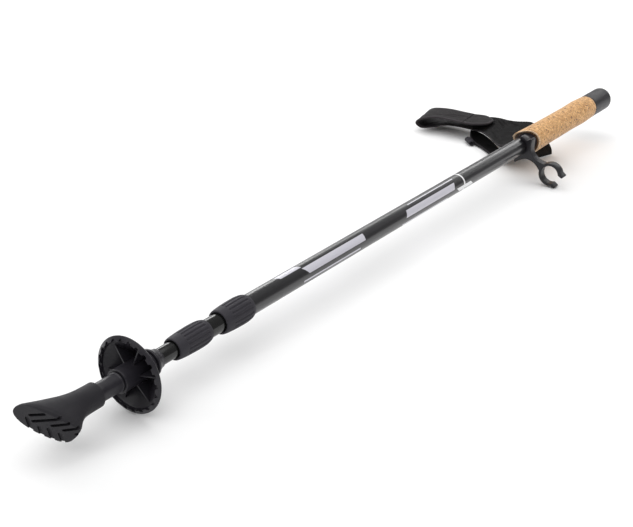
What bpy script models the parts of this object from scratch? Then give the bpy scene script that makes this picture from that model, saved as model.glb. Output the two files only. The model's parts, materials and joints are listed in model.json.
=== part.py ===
"""Nordic walking pole: three telescoping tubes with twist locks, a cork grip with a hand strap,
a pole clip, a basket and a rubber paw, lying on the ground as it does when it is put down.

Lengths are in metres. Along the pole, z = 0 is just ahead of the paw and z grows towards the grip.
The shaft empty lays that z axis down along world +X. The strap is placed in ground coordinates.
"""
import math

import bmesh
import bpy
from mathutils import Matrix, Vector

MM = 0.001

# Fits
GAP = 0.3 * MM
BLIND_GAP = 0.5 * MM

# Telescoping tubes
UPPER_TUBE_D = 16.0 * MM
TUBE_WALL = 0.7 * MM
TUBE_STEP = 2.0 * MM
STAGE_TRAVEL = 250.0 * MM
UPPER_INSERT = 97.0 * MM
LOWER_INSERT = 66.0 * MM

# What shows between the fittings, from the paw up
SHANK_SHOWS = 19.5 * MM
LOWER_TUBE_SHOWS = 14.3 * MM
MIDDLE_TUBE_SHOWS = 14.0 * MM
UPPER_TUBE_SHOWS = 434.8 * MM

# Paw, the rubber boot on the tip
PAW_COLLAR_TOP = 57.0 * MM
PAW_COLLAR_R = 8.5 * MM
PAW_BORE_FLOOR = 26.0 * MM
PAW_TURN_DEG = 44.0
PAW_SIDES = 32
CHAMBER_BELOW = 4.0 * MM
GROOVE_W = 2.5 * MM
GROOVE_DEEP = 1.8 * MM
GROOVE_PITCH = 7.3 * MM
GROOVE_FROM_TOE = 3.1 * MM
GROOVE_SLANT = math.radians(46.0)

# Washer and tip inside the paw
WASHER_R = 5.7 * MM
WASHER_T = 1.5 * MM
TIP_R = 2.3 * MM
TIP_LENGTH = 14.9 * MM
TIP_SEAT = 8.0 * MM

# Ferrule
SHANK_R = 6.5 * MM
SHANK_TIP_R = 5.0 * MM
SHANK_END = 35.0 * MM
FERRULE_COLLAR_R = 9.75 * MM
FERRULE_COLLAR_LENGTH = 8.5 * MM
SPIGOT_LENGTH = 41.0 * MM
SOCKET_DEPTH = 5.0 * MM
SOCKET_LIP = 0.6 * MM
STOP_BEAD = 0.5 * MM

# Basket
BASKET_R = 27.3 * MM
HUB_WALL = 1.6 * MM
HUB_LENGTH = 28.7 * MM
RIM_BACK = 8.7 * MM
RIM_W = 4.0 * MM
BASKET_WALL = 2.0 * MM
EDGE_IN = 3.4 * MM
EDGE_BACK = 4.0 * MM
HUB_STEP = 2.7 * MM
RIB_COUNT = 6
RIB_W = 1.6 * MM
NOTCH_COUNT = 24
NOTCH_R = 1.5 * MM
NOTCH_DEEP = 1.6 * MM
BASKET_SEGMENTS = 48

# Twist lock sleeves
LOWER_SLEEVE_LENGTH = 34.0 * MM
UPPER_SLEEVE_LENGTH = 31.8 * MM
SLEEVE_SWELL = 1.9 * MM
SLEEVE_LIP = 4.0 * MM
FLUTE_COUNT = 18
FLUTE_R = 1.15 * MM
FLUTE_DEEP = 0.55 * MM

# Twist lock insides
PLUG_DEPTH = 18.0 * MM
PLUG_FLOOR = 3.0 * MM
FLANGE_T = 3.0 * MM
SCREW_R = 2.4 * MM
SCREW_PAST_NUT = 2.0 * MM
EXPANDER_LENGTH = 26.0 * MM
EXPANDER_SKIN = 1.0 * MM
EXPANDER_FOOT = 6.0 * MM
NUT_LENGTH = 14.0 * MM
NUT_TRAVEL = 1.5 * MM
SLOT_W = 1.6 * MM

# Clip that holds a second pole
CLIP_DEPTH = 8.5 * MM
CLIP_REACH = 41.0 * MM
CLIP_TURN_DEG = -147.2
JAW_R = 8.9 * MM
JAW_WALL = 2.5 * MM
COLLAR_WALL = 2.8 * MM
STEM_W = 3.9 * MM
CLIP_WRAP_DEG = 115.0

# Grip
CORE_WALL = 1.0 * MM
CORK_R = 12.5 * MM
CORK_LIP_R = 13.2 * MM
CORK_LENGTH = 154.9 * MM
SCOOP_R = 16.5 * MM
SCOOP_SHIFT = 4.0 * MM
SCOOP_START = -4.0 * MM
SCOOP_TURN_DEG = -127.4
CAP_R = 12.2 * MM
CAP_LENGTH = 41.7 * MM
CAP_ROUND = 1.8 * MM
CAP_SPIGOT = 22.0 * MM

# Strap
TAPE_W = 20.0 * MM
TAPE_T = 1.6 * MM
TAPE_TURN_DEG = -15.0
TAPE_FROM_GRIP = 47.6 * MM
WEDGE_T = 2.2 * MM
PANEL_T = 2.4 * MM
BAND_T = 2.2 * MM
TAIL_T = 2.0 * MM
STRAP_REACH = 171.0 * MM

ROUND = 40
SMALL_ROUND = 24
SHARP_DEG = 35.0

# Sizes that follow from the ones above
UPPER_TUBE_R = UPPER_TUBE_D / 2
MIDDLE_TUBE_R = UPPER_TUBE_R - TUBE_STEP / 2
LOWER_TUBE_R = MIDDLE_TUBE_R - TUBE_STEP / 2
UPPER_BORE_R = UPPER_TUBE_R - TUBE_WALL
MIDDLE_BORE_R = MIDDLE_TUBE_R - TUBE_WALL
LOWER_BORE_R = LOWER_TUBE_R - TUBE_WALL

HUB_FRONT = PAW_COLLAR_TOP + SHANK_SHOWS
HUB_BACK = HUB_FRONT + HUB_LENGTH
RIM_PLANE = HUB_FRONT + RIM_BACK
COLLAR_FACE = HUB_BACK + BLIND_GAP
COLLAR_TOP = COLLAR_FACE + FERRULE_COLLAR_LENGTH
LOWER_SLEEVE_START = COLLAR_TOP + LOWER_TUBE_SHOWS
LOWER_SLEEVE_END = LOWER_SLEEVE_START + LOWER_SLEEVE_LENGTH
UPPER_SLEEVE_START = LOWER_SLEEVE_END + MIDDLE_TUBE_SHOWS
UPPER_SLEEVE_END = UPPER_SLEEVE_START + UPPER_SLEEVE_LENGTH
CLIP_START = UPPER_SLEEVE_END + UPPER_TUBE_SHOWS
CLIP_END = CLIP_START + CLIP_DEPTH
GRIP_START = CLIP_END + BLIND_GAP
CORK_END = GRIP_START + CORK_LENGTH
CAP_START = CORK_END + GAP
CAP_END = CAP_START + CAP_LENGTH

LOWER_TUBE_START = COLLAR_TOP - SOCKET_DEPTH
MIDDLE_TUBE_START = LOWER_SLEEVE_START + SLEEVE_LIP + GAP
UPPER_TUBE_START = UPPER_SLEEVE_START + SLEEVE_LIP + GAP
LOWER_TUBE_TOP = MIDDLE_TUBE_START + STAGE_TRAVEL + LOWER_INSERT
MIDDLE_TUBE_TOP = UPPER_TUBE_START + STAGE_TRAVEL + UPPER_INSERT
UPPER_TUBE_TOP = CORK_END - 5.0 * MM

HUB_R = SHANK_R + GAP + HUB_WALL
CORE_R = UPPER_TUBE_R + GAP + CORE_WALL
CORK_BORE_R = CORE_R + GAP
NOTCH_RING_R = BASKET_R - RIM_W

# The strap is drawn in millimetres for this reach, and for a grip of this height and radius
STRAP_DRAWING = {"reach": 171.0, "height": 36.5, "side": 12.9}
STRAP_SPREAD = STRAP_REACH / (STRAP_DRAWING["reach"] * MM)

# How the pole lies: on the basket's rim and on the lower lip of the clip's jaw
LIP_R = JAW_R + JAW_WALL + 3.1 * MM
LIP_DEG = 34.0
CLIP_MIDDLE = CLIP_START + CLIP_DEPTH / 2


def clear_scene():
    for obj in list(bpy.data.objects):
        bpy.data.objects.remove(obj, do_unlink=True)


def new_collection(name):
    collection = bpy.data.collections.new(name)
    bpy.context.scene.collection.children.link(collection)
    return collection


def material(name, color, roughness, metallic=0.0):
    made = bpy.data.materials.new(name)
    made.use_nodes = True
    shader = made.node_tree.nodes["Principled BSDF"]
    shader.inputs["Base Color"].default_value = (*color, 1.0)
    shader.inputs["Roughness"].default_value = roughness
    shader.inputs["Metallic"].default_value = metallic
    return made


def set_in_place(obj, parent, location=(0.0, 0.0, 0.0), turn_deg=0.0):
    obj.parent = parent
    obj.location = location
    obj.rotation_euler = (0.0, 0.0, math.radians(turn_deg))


def new_part(name, mesh, finish, parent, location=(0.0, 0.0, 0.0), turn_deg=0.0):
    obj = bpy.data.objects.new(name, mesh)
    mesh.materials.append(finish)
    POLE.objects.link(obj)
    set_in_place(obj, parent, location, turn_deg)
    return obj


def new_cutter(name, mesh, parent, location=(0.0, 0.0, 0.0), turn_deg=0.0):
    obj = bpy.data.objects.new(name, mesh)
    CUTTERS.objects.link(obj)
    obj.hide_render = True
    obj.display_type = "WIRE"
    set_in_place(obj, parent, location, turn_deg)
    return obj


def new_empty(name, parent, location=(0.0, 0.0, 0.0)):
    obj = bpy.data.objects.new(name, None)
    obj.empty_display_size = 0.02
    POLE.objects.link(obj)
    set_in_place(obj, parent, location)
    return obj


def combine(obj, tool, operation="DIFFERENCE"):
    step = obj.modifiers.new(tool.name, "BOOLEAN")
    step.operation = operation
    step.solver = "EXACT"
    step.object = tool


def mesh_from(build, name):
    made = bmesh.new()
    build(made)
    bmesh.ops.recalc_face_normals(made, faces=made.faces)
    mesh = bpy.data.meshes.new(name)
    made.to_mesh(mesh)
    made.free()
    return mesh


def turned(name, outline, finish, parent, z=0.0, closed=True, segments=ROUND, cutter=False):
    """A turned piece. The outline is (radius, z) and runs down its outer side."""
    mesh = bpy.data.meshes.new(name)
    edges = [(i, i + 1) for i in range(len(outline) - 1)]
    if closed:
        edges.append((len(outline) - 1, 0))
    mesh.from_pydata([(r, 0.0, h) for r, h in outline], edges, [])
    if cutter:
        obj = new_cutter(name, mesh, parent, (0.0, 0.0, z))
    else:
        obj = new_part(name, mesh, finish, parent, (0.0, 0.0, z))
    screw = obj.modifiers.new("turn", "SCREW")
    screw.axis = "Z"
    screw.angle = math.tau
    screw.steps = segments
    screw.render_steps = segments
    screw.use_merge_vertices = True
    screw.merge_threshold = 0.00001
    return obj


def tube(name, outer_r, bore_r, start, end, finish, parent):
    length = end - start
    outline = [(outer_r, length), (outer_r, 0.0), (bore_r, 0.0), (bore_r, length)]
    return turned(name, outline, finish, parent, start)


def block(name, size, parent, location, turn_deg=0.0):
    """A box cutter, centred on its location."""
    def build(made):
        bmesh.ops.create_cube(made, size=1.0)
        bmesh.ops.scale(made, vec=size, verts=made.verts)
    return new_cutter(name, mesh_from(build, name), parent, location, turn_deg)


def arc(cx, cy, radius, start_deg, end_deg, count):
    points = []
    for i in range(count + 1):
        a = math.radians(start_deg + (end_deg - start_deg) * i / count)
        points.append((cx + radius * math.cos(a), cy + radius * math.sin(a)))
    return points


def polar(cx, cy, radius, angle_deg):
    a = math.radians(angle_deg)
    return (cx + radius * math.cos(a), cy + radius * math.sin(a))


def smooth_line(points, count):
    """Evenly numbered points on a curve that passes through the given ones."""
    known = [Vector(p) * MM for p in points]
    known = [known[0] * 2 - known[1]] + known + [known[-1] * 2 - known[-2]]
    spans = len(known) - 3
    line = []
    for i in range(count + 1):
        t = spans * i / count
        k = min(int(t), spans - 1)
        t -= k
        a, b, c, d = known[k:k + 4]
        line.append(0.5 * (2 * b + (c - a) * t + (2 * a - 5 * b + 4 * c - d) * t * t
                           + (3 * b - a - 3 * c + d) * t * t * t))
    return line


def upper_tube():
    tube("upper_tube", UPPER_TUBE_R, UPPER_BORE_R, UPPER_TUBE_START, UPPER_TUBE_TOP, GLOSS_BLACK, shaft)


def middle_tube():
    tube("middle_tube", MIDDLE_TUBE_R, MIDDLE_BORE_R, MIDDLE_TUBE_START, MIDDLE_TUBE_TOP, ANODISED, shaft)


def lower_tube():
    tube("lower_tube", LOWER_TUBE_R, LOWER_BORE_R, LOWER_TUBE_START, LOWER_TUBE_TOP, ANODISED, shaft)


# How far the sleeve swells, as shares of its length and of its swell
SLEEVE_FORM = [(0.0, 0.15), (0.02, 0.35), (0.08, 0.55), (0.2, 0.74), (0.35, 0.88), (0.55, 0.98),
               (0.7, 1.0), (0.83, 0.92), (0.93, 0.68), (1.0, 0.3)]


def sleeve_radius(base, share):
    for (a, ra), (b, rb) in zip(SLEEVE_FORM, SLEEVE_FORM[1:]):
        if share <= b:
            return base + SLEEVE_SWELL * (ra + (rb - ra) * (share - a) / (b - a))
    return base + SLEEVE_SWELL * SLEEVE_FORM[-1][1]


def flute_cutters(name, base, length, parent, z):
    """Round-ended grooves along the sleeve, a ring of stretched balls."""
    low, high = 0.24 * length, 0.87 * length
    lift = FLUTE_R - FLUTE_DEEP

    def build(made):
        for k in range(FLUTE_COUNT):
            ball = bmesh.ops.create_uvsphere(made, u_segments=8, v_segments=5, radius=FLUTE_R)
            for vert in ball["verts"]:
                end = high if vert.co.z > 0 else low
                vert.co.z += end
                vert.co.x += sleeve_radius(base, end / length) + lift
            turn = Matrix.Rotation(math.tau * k / FLUTE_COUNT, 3, "Z")
            bmesh.ops.rotate(made, verts=ball["verts"], matrix=turn)
    return new_cutter(name, mesh_from(build, name), parent, (0.0, 0.0, z))


def lock_sleeve(name, tube_r, inner_tube_r, start, length):
    """The moulded grip on the mouth of a tube, with a lip that the next tube slides through."""
    base = tube_r + GAP
    lip_r = inner_tube_r + 2 * GAP
    outer = [(sleeve_radius(base, share), share * length) for share, _ in reversed(SLEEVE_FORM)]
    inner = [(lip_r, 0.0), (lip_r, SLEEVE_LIP), (base, SLEEVE_LIP), (base, length)]
    sleeve = turned(name, outer + inner, RUBBER, shaft, start)
    combine(sleeve, flute_cutters(name + "_flutes", base, length, shaft, start))


def twist_lock(prefix, tube_r, tube_top, tube_bore, outer_bore):
    """Plug and screw on the inner tube, a slotted expander and the cone nut that spreads it."""
    plug_r = tube_bore - GAP
    flange_r = outer_bore - 2 * GAP
    hole_r = SCREW_R + GAP
    flange_base = tube_top + GAP
    flange_top = flange_base + FLANGE_T
    hole_floor = tube_top - PLUG_DEPTH + PLUG_FLOOR

    plug = [(0.0, hole_floor), (hole_r, hole_floor), (hole_r, flange_top), (flange_r, flange_top),
            (flange_r, flange_base), (plug_r, flange_base), (plug_r, tube_top - PLUG_DEPTH),
            (0.0, tube_top - PLUG_DEPTH)]
    turned(prefix + "_plug", plug, PLASTIC, shaft, closed=False, segments=SMALL_ROUND)

    expander_base = flange_top + GAP
    expander_top = expander_base + EXPANDER_LENGTH
    nut_base = expander_top - NUT_LENGTH + NUT_TRAVEL
    screw_top = nut_base + NUT_LENGTH + SCREW_PAST_NUT
    screw = [(0.0, screw_top), (SCREW_R, screw_top), (SCREW_R, hole_floor + GAP), (0.0, hole_floor + GAP)]
    turned(prefix + "_screw", screw, STEEL, shaft, closed=False, segments=SMALL_ROUND)

    expander_r = outer_bore - GAP
    mouth_r = expander_r - EXPANDER_SKIN
    throat_r = SCREW_R + 2 * GAP
    body = [(expander_r, EXPANDER_LENGTH), (expander_r, 0.0), (throat_r, 0.0), (throat_r, EXPANDER_FOOT),
            (mouth_r, EXPANDER_LENGTH)]
    expander = turned(prefix + "_expander", body, PALE_PLASTIC, shaft, expander_base, segments=SMALL_ROUND)
    slot_length = EXPANDER_LENGTH - EXPANDER_FOOT
    middle_r = 0.8 * expander_r
    for k in range(3):
        turn = 120.0 * k
        spot = polar(0.0, 0.0, middle_r, turn) + (expander_top - slot_length / 2 + MM,)
        size = (expander_r, SLOT_W, slot_length + 2 * MM)
        combine(expander, block(prefix + "_slot_" + str(k + 1), size, shaft, spot, turn))

    slope = (mouth_r - throat_r) / (EXPANDER_LENGTH - EXPANDER_FOOT)
    clearance = GAP + slope * NUT_TRAVEL

    def bore_at(height):
        return throat_r + slope * max(height - EXPANDER_FOOT, 0.0)

    low = nut_base - expander_base
    nut_low_r = bore_at(low) - clearance
    nut_high_r = min(nut_low_r + slope * NUT_LENGTH, mouth_r)
    nut = [(nut_high_r, NUT_LENGTH), (nut_low_r, 0.0), (hole_r, 0.0), (hole_r, NUT_LENGTH)]
    turned(prefix + "_cone_nut", nut, STEEL, shaft, nut_base, segments=SMALL_ROUND)


def ferrule():
    """The moulded end fitting: spigot in the tube, bell collar, and the shank that the basket turns on."""
    spigot_r = LOWER_BORE_R - GAP
    socket_r = LOWER_TUBE_R + GAP
    socket_floor = LOWER_TUBE_START - GAP
    top = LOWER_TUBE_START + SPIGOT_LENGTH
    rim_r = socket_r + SOCKET_LIP
    bell = [(rim_r, COLLAR_TOP)]
    for i in range(1, 7):
        share = i / 6
        bell.append((rim_r + (FERRULE_COLLAR_R - rim_r) * share ** 1.7,
                     COLLAR_TOP - (FERRULE_COLLAR_LENGTH - 1.6 * MM) * share))
    outline = [(0.0, top), (spigot_r - 0.6 * MM, top), (spigot_r, top - 0.8 * MM), (spigot_r, socket_floor),
               (socket_r, socket_floor), (socket_r, COLLAR_TOP)]
    outline += bell
    outline += [(FERRULE_COLLAR_R, COLLAR_FACE), (SHANK_R, COLLAR_FACE),
                (SHANK_R, HUB_FRONT - GAP), (SHANK_R + STOP_BEAD, HUB_FRONT - GAP - STOP_BEAD),
                (SHANK_R, HUB_FRONT - GAP - 2.5 * STOP_BEAD), (SHANK_R, PAW_COLLAR_TOP + 3.0 * MM),
                (SHANK_TIP_R, SHANK_END), (TIP_R + GAP, SHANK_END),
                (TIP_R + GAP, SHANK_END + TIP_SEAT + GAP), (0.0, SHANK_END + TIP_SEAT + GAP)]
    turned("ferrule", outline, PLASTIC, shaft, closed=False, segments=40)


def carbide_tip():
    top = SHANK_END + TIP_SEAT
    bottom = top - TIP_LENGTH
    outline = [(0.0, top), (TIP_R, top), (TIP_R, bottom + 3.0 * MM), (TIP_R - 0.5 * MM, bottom),
               (TIP_R - 0.9 * MM, bottom), (0.0, bottom + 0.6 * MM)]
    turned("carbide_tip", outline, STEEL, shaft, closed=False, segments=24)


def tip_washer():
    outline = [(WASHER_R, WASHER_T), (WASHER_R, 0.0), (1.5 * MM, 0.0), (1.5 * MM, WASHER_T)]
    turned("tip_washer", outline, STEEL, shaft, PAW_BORE_FLOOR + GAP, segments=24)


def basket():
    """The cup that stops the pole sinking in: hub sleeve, cone, flat notched rim and ribs."""
    bore_r = SHANK_R + GAP
    back = HUB_BACK - HUB_FRONT
    shoulder = back - HUB_STEP
    rim = RIM_BACK
    pocket_r = BASKET_R - RIM_W
    outline = [(HUB_R, back), (HUB_R, shoulder), (BASKET_R - EDGE_IN, rim + EDGE_BACK),
               (BASKET_R - 0.3 * EDGE_IN, rim + 0.4 * EDGE_BACK), (BASKET_R, rim),
               (pocket_r, rim), (pocket_r - 0.5 * MM, rim + BASKET_WALL),
               (HUB_R, shoulder - BASKET_WALL), (HUB_R, 0.0), (bore_r, 0.0), (bore_r, back)]
    cup = turned("basket", outline, PLASTIC, shaft, HUB_FRONT, segments=BASKET_SEGMENTS)

    def ribs(made):
        inner, outer = HUB_R - HUB_WALL / 2, pocket_r - 0.75 * BASKET_WALL
        side = [(inner, shoulder - BASKET_WALL / 2), (inner, rim + BASKET_WALL), (outer, rim + BASKET_WALL),
                (outer, rim + 2.2 * BASKET_WALL)]
        for k in range(RIB_COUNT):
            face = made.faces.new([made.verts.new((r, -RIB_W / 2, h)) for r, h in side])
            grown = bmesh.ops.extrude_face_region(made, geom=[face])
            moved = [g for g in grown["geom"] if isinstance(g, bmesh.types.BMVert)]
            bmesh.ops.translate(made, verts=moved, vec=(0.0, RIB_W, 0.0))
            both = moved + list(face.verts)
            turn = Matrix.Rotation(math.tau * (k + 0.5) / RIB_COUNT, 3, "Z")
            bmesh.ops.rotate(made, verts=both, matrix=turn)
    combine(cup, new_cutter("basket_ribs", mesh_from(ribs, "basket_ribs"), shaft, (0.0, 0.0, HUB_FRONT)),
            "UNION")

    def notches(made):
        for k in range(NOTCH_COUNT):
            a = math.tau * k / NOTCH_COUNT
            spot = Matrix.Translation((NOTCH_RING_R * math.cos(a), NOTCH_RING_R * math.sin(a), rim))
            bmesh.ops.create_cone(made, cap_ends=True, segments=8, radius1=NOTCH_R, radius2=NOTCH_R,
                                  depth=2 * NOTCH_DEEP, matrix=spot)
    combine(cup, new_cutter("basket_notches", mesh_from(notches, "basket_notches"), shaft,
                            (0.0, 0.0, HUB_FRONT)))


# The boot as rings from its collar to its sole: toe side (z, reach), heel side (z, reach), half width
PAW_RINGS = [((57.0, 8.5), (57.0, 8.5), 8.5), ((49.0, 8.6), (49.5, 8.5), 8.6),
             ((41.0, 9.1), (45.5, 8.6), 8.8), ((33.0, 10.4), (42.5, 8.9), 9.3),
             ((25.0, 12.4), (39.5, 9.4), 10.0), ((17.5, 14.4), (36.5, 10.5), 10.9),
             ((11.0, 16.3), (33.5, 12.1), 11.8),
             ((6.6, 17.6), (30.3, 14.6), 12.5), ((5.0, 17.7), (27.6, 16.2), 12.4),
             ((3.8, 16.8), (25.6, 16.0), 11.4)]


def paw():
    """The boot: a loft from the round collar to the slanted, longer sole, with a chevron tread."""
    scale_r = PAW_COLLAR_R / (PAW_RINGS[0][2] * MM)
    scale_z = PAW_COLLAR_TOP / (PAW_RINGS[0][0][0] * MM)

    def loft(made):
        rings = []
        for k, (toe, heel, half) in enumerate(PAW_RINGS):
            square = 2.0 + 0.5 * min(k / 6, 1.0)
            toe_at = Vector((toe[1] * scale_r, 0.0, toe[0] * scale_z)) * MM
            heel_at = Vector((-heel[1] * scale_r, 0.0, heel[0] * scale_z)) * MM
            middle = (toe_at + heel_at) / 2
            reach = (toe_at - heel_at) / 2
            ring = []
            for i in range(PAW_SIDES):
                a = math.tau * i / PAW_SIDES
                c, s = math.cos(a), math.sin(a)
                along = math.copysign(abs(c) ** (2 / square), c)
                across = math.copysign(abs(s) ** (2 / square), s) * half * scale_r * MM
                narrow = 1.0 - 0.12 * max(along, 0.0) * min(k / 6, 1.0)
                ring.append(made.verts.new(middle + reach * along + Vector((0.0, across * narrow, 0.0))))
            rings.append(ring)
        made.faces.new(rings[0])
        made.faces.new(rings[-1])
        for upper, lower in zip(rings, rings[1:]):
            for i in range(PAW_SIDES):
                j = (i + 1) % PAW_SIDES
                made.faces.new((upper[i], upper[j], lower[j], lower[i]))

    turn = PAW_TURN_DEG + 90.0
    boot = new_part("paw", mesh_from(loft, "paw"), RUBBER, shaft, turn_deg=turn)

    above = PAW_COLLAR_TOP + 1.0 * MM
    chamber_r = WASHER_R + GAP
    socket = [(0.0, above), (SHANK_R + GAP, above), (SHANK_R + GAP, PAW_COLLAR_TOP),
              (SHANK_TIP_R + BLIND_GAP, SHANK_END), (chamber_r, SHANK_END - CHAMBER_BELOW),
              (chamber_r, PAW_BORE_FLOOR), (0.0, PAW_BORE_FLOOR)]
    combine(boot, turned("paw_socket", socket, None, shaft, closed=False, segments=SMALL_ROUND, cutter=True))

    toe, heel, half = PAW_RINGS[-1]
    toe_at = Vector((toe[1] * scale_r, 0.0, toe[0] * scale_z)) * MM
    heel_at = Vector((-heel[1] * scale_r, 0.0, heel[0] * scale_z)) * MM
    along = (toe_at - heel_at).normalized()
    across = Vector((0.0, 1.0, 0.0))
    down = across.cross(along)
    if down.z > 0:
        down = -down
    centre = (toe_at + heel_at) / 2
    sole_half = (toe_at - heel_at).length / 2

    def grooves(made):
        count = int(2 * sole_half / GROOVE_PITCH)
        length = 2.4 * half * MM
        for side in (1, -1):
            run = across * side * math.cos(GROOVE_SLANT) - along * math.sin(GROOVE_SLANT)
            wide = run.cross(down)
            first = sole_half - GROOVE_FROM_TOE - (GROOVE_PITCH / 2 if side > 0 else 0.0)
            for k in range(count):
                cut = bmesh.ops.create_cube(made, size=1.0)
                origin = centre + along * (first - k * GROOVE_PITCH) + across * side * GROOVE_W / 2
                origin += run * length / 2
                for vert in cut["verts"]:
                    x, y, z = vert.co
                    vert.co = origin + run * x * length + wide * y * GROOVE_W + down * z * 2 * GROOVE_DEEP
    combine(boot, new_cutter("paw_tread", mesh_from(grooves, "paw_tread"), shaft, turn_deg=turn))


def pole_clip():
    """Snap clip: a C that grips the tube, a waisted stem with two pointed wings, and a C jaw."""
    collar_in = UPPER_TUBE_R + GAP
    collar_out = collar_in + COLLAR_WALL
    jaw_out = JAW_R + JAW_WALL
    jaw_at = CLIP_REACH
    half = arc(0.0, 0.0, collar_out, CLIP_WRAP_DEG, 76.0, 5)
    half += [(5.0 * MM, collar_out + 4.2 * MM), (6.6 * MM, collar_out + 3.9 * MM),
             (9.2 * MM, collar_out - 1.3 * MM), (11.8 * MM, collar_out - 5.2 * MM), (14.6 * MM, 3.6 * MM),
             (18.2 * MM, STEM_W / 2 + 0.4 * MM), (0.55 * jaw_at, STEM_W / 2),
             (jaw_at - jaw_out - 3.0 * MM, STEM_W / 2 + 0.9 * MM)]
    half += arc(jaw_at, 0.0, jaw_out, 158.0, 48.0, 9)
    half += [polar(jaw_at, 0.0, LIP_R, LIP_DEG), polar(jaw_at, 0.0, jaw_out + 1.8 * MM, 26.0),
             polar(jaw_at, 0.0, JAW_R + 0.3 * MM, 37.0)]
    half += arc(jaw_at, 0.0, JAW_R, 43.0, 171.0, 9)
    mirrored = [(x, -y) for x, y in reversed(half)]
    tip = [polar(jaw_at, 0.0, JAW_R, 180.0)]
    inside = arc(0.0, 0.0, collar_in, -CLIP_WRAP_DEG, CLIP_WRAP_DEG, 24)
    outline = half + tip + mirrored + inside

    def plate(made):
        face = made.faces.new([made.verts.new((x, y, 0.0)) for x, y in outline])
        grown = bmesh.ops.extrude_face_region(made, geom=[face])
        moved = [g for g in grown["geom"] if isinstance(g, bmesh.types.BMVert)]
        bmesh.ops.translate(made, verts=moved, vec=(0.0, 0.0, CLIP_DEPTH))
    new_part("pole_clip", mesh_from(plate, "pole_clip"), PLASTIC, shaft, (0.0, 0.0, CLIP_START),
             CLIP_TURN_DEG + 90.0)


def grip_core():
    length = CORK_END - GRIP_START
    outline = [(CORE_R, length), (CORE_R, 0.8 * MM), (CORE_R - 0.5 * MM, 0.0), (UPPER_TUBE_R + GAP, 0.0),
               (UPPER_TUBE_R + GAP, length)]
    core = turned("grip_core", outline, PLASTIC, shaft, GRIP_START)
    combine(core, strap_slot)


def cork_grip():
    """The cork handle, scooped away over the clip and slotted for the strap."""
    length = CORK_END - GRIP_START
    form = [(0.0, 0.9), (0.02, 1.0), (0.06, 0.9), (0.14, 0.5), (0.28, 0.2), (0.5, 0.05), (0.7, 0.0),
            (0.77, 0.35), (0.83, 0.7), (0.88, 0.6), (0.94, 0.05), (0.98, -0.2), (1.0, -0.5)]
    swell = CORK_LIP_R - CORK_R
    outer = [(CORK_R + swell * k, share * length) for share, k in reversed(form)]
    inner = [(CORK_BORE_R, 0.0), (CORK_BORE_R, length)]
    cork = turned("cork_grip", outer + inner, CORK, shaft, GRIP_START)

    def round_bar(made):
        bmesh.ops.create_cone(made, cap_ends=True, segments=40, radius1=SCOOP_R, radius2=SCOOP_R,
                              depth=4 * CORK_LIP_R)
    side = math.radians(SCOOP_TURN_DEG + 90.0)
    bar = new_cutter("scoop", mesh_from(round_bar, "scoop"), shaft,
                     (SCOOP_SHIFT * math.cos(side), SCOOP_SHIFT * math.sin(side), GRIP_START + SCOOP_START))
    bar.rotation_euler = (math.pi / 2, 0.0, side)
    combine(cork, bar)
    combine(cork, strap_slot)


def grip_cap():
    spigot_r = UPPER_BORE_R - GAP
    length = CAP_END - CAP_START
    rounded = []
    for i in range(7):
        a = math.radians(90.0 - 15.0 * i)
        rounded.append((CAP_R - CAP_ROUND * (1 - math.cos(a)), length - CAP_ROUND * (1 - math.sin(a))))
    outline = [(0.0, length)] + rounded
    outline += [(CAP_R, 0.6 * MM), (CAP_R - 0.4 * MM, 0.0), (spigot_r, 0.0), (spigot_r, -CAP_SPIGOT),
                (0.0, -CAP_SPIGOT)]
    turned("grip_cap", outline, RUBBER, shaft, CAP_START, closed=False)


def slot_cutter():
    """The pocket through cork and core that the strap tape and its wedge go into."""
    height = TAPE_T + WEDGE_T + 3 * GAP
    reach = CORK_LIP_R - UPPER_TUBE_R + 2 * MM
    a = math.radians(TAPE_TURN_DEG + 90.0)
    radius = UPPER_TUBE_R + GAP / 2 + reach / 2
    return block("strap_slot", (reach, height, TAPE_W + 2 * BLIND_GAP), shaft,
                 (radius * math.cos(a), radius * math.sin(a), TAPE_AT), TAPE_TURN_DEG + 90.0)


def slab(name, size, finish, offset):
    """A flat piece in the strap slot, its length along the radius."""
    def build(made):
        bmesh.ops.create_cube(made, size=1.0)
        bmesh.ops.scale(made, vec=size, verts=made.verts)
        bmesh.ops.translate(made, vec=offset, verts=made.verts)
    return new_part(name, mesh_from(build, name), finish, shaft, (0.0, 0.0, TAPE_AT), TAPE_TURN_DEG + 90.0)


def strap_anchor():
    """The tape that goes into the grip, and the wedge that jams it there."""
    inner = UPPER_TUBE_R + 2 * GAP
    total = TAPE_T + WEDGE_T + 3 * GAP
    tape_r = CORK_LIP_R + 0.2 * MM
    wedge_r = CORK_R - 0.3 * MM
    slab("strap_tape", (tape_r - inner, TAPE_T, TAPE_W), WEBBING,
         ((tape_r + inner) / 2, total / 2 - GAP - TAPE_T / 2, 0.0))
    slab("strap_wedge", (wedge_r - inner, WEDGE_T, TAPE_W), PLASTIC,
         ((wedge_r + inner) / 2, -total / 2 + GAP + WEDGE_T / 2, 0.0))


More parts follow.
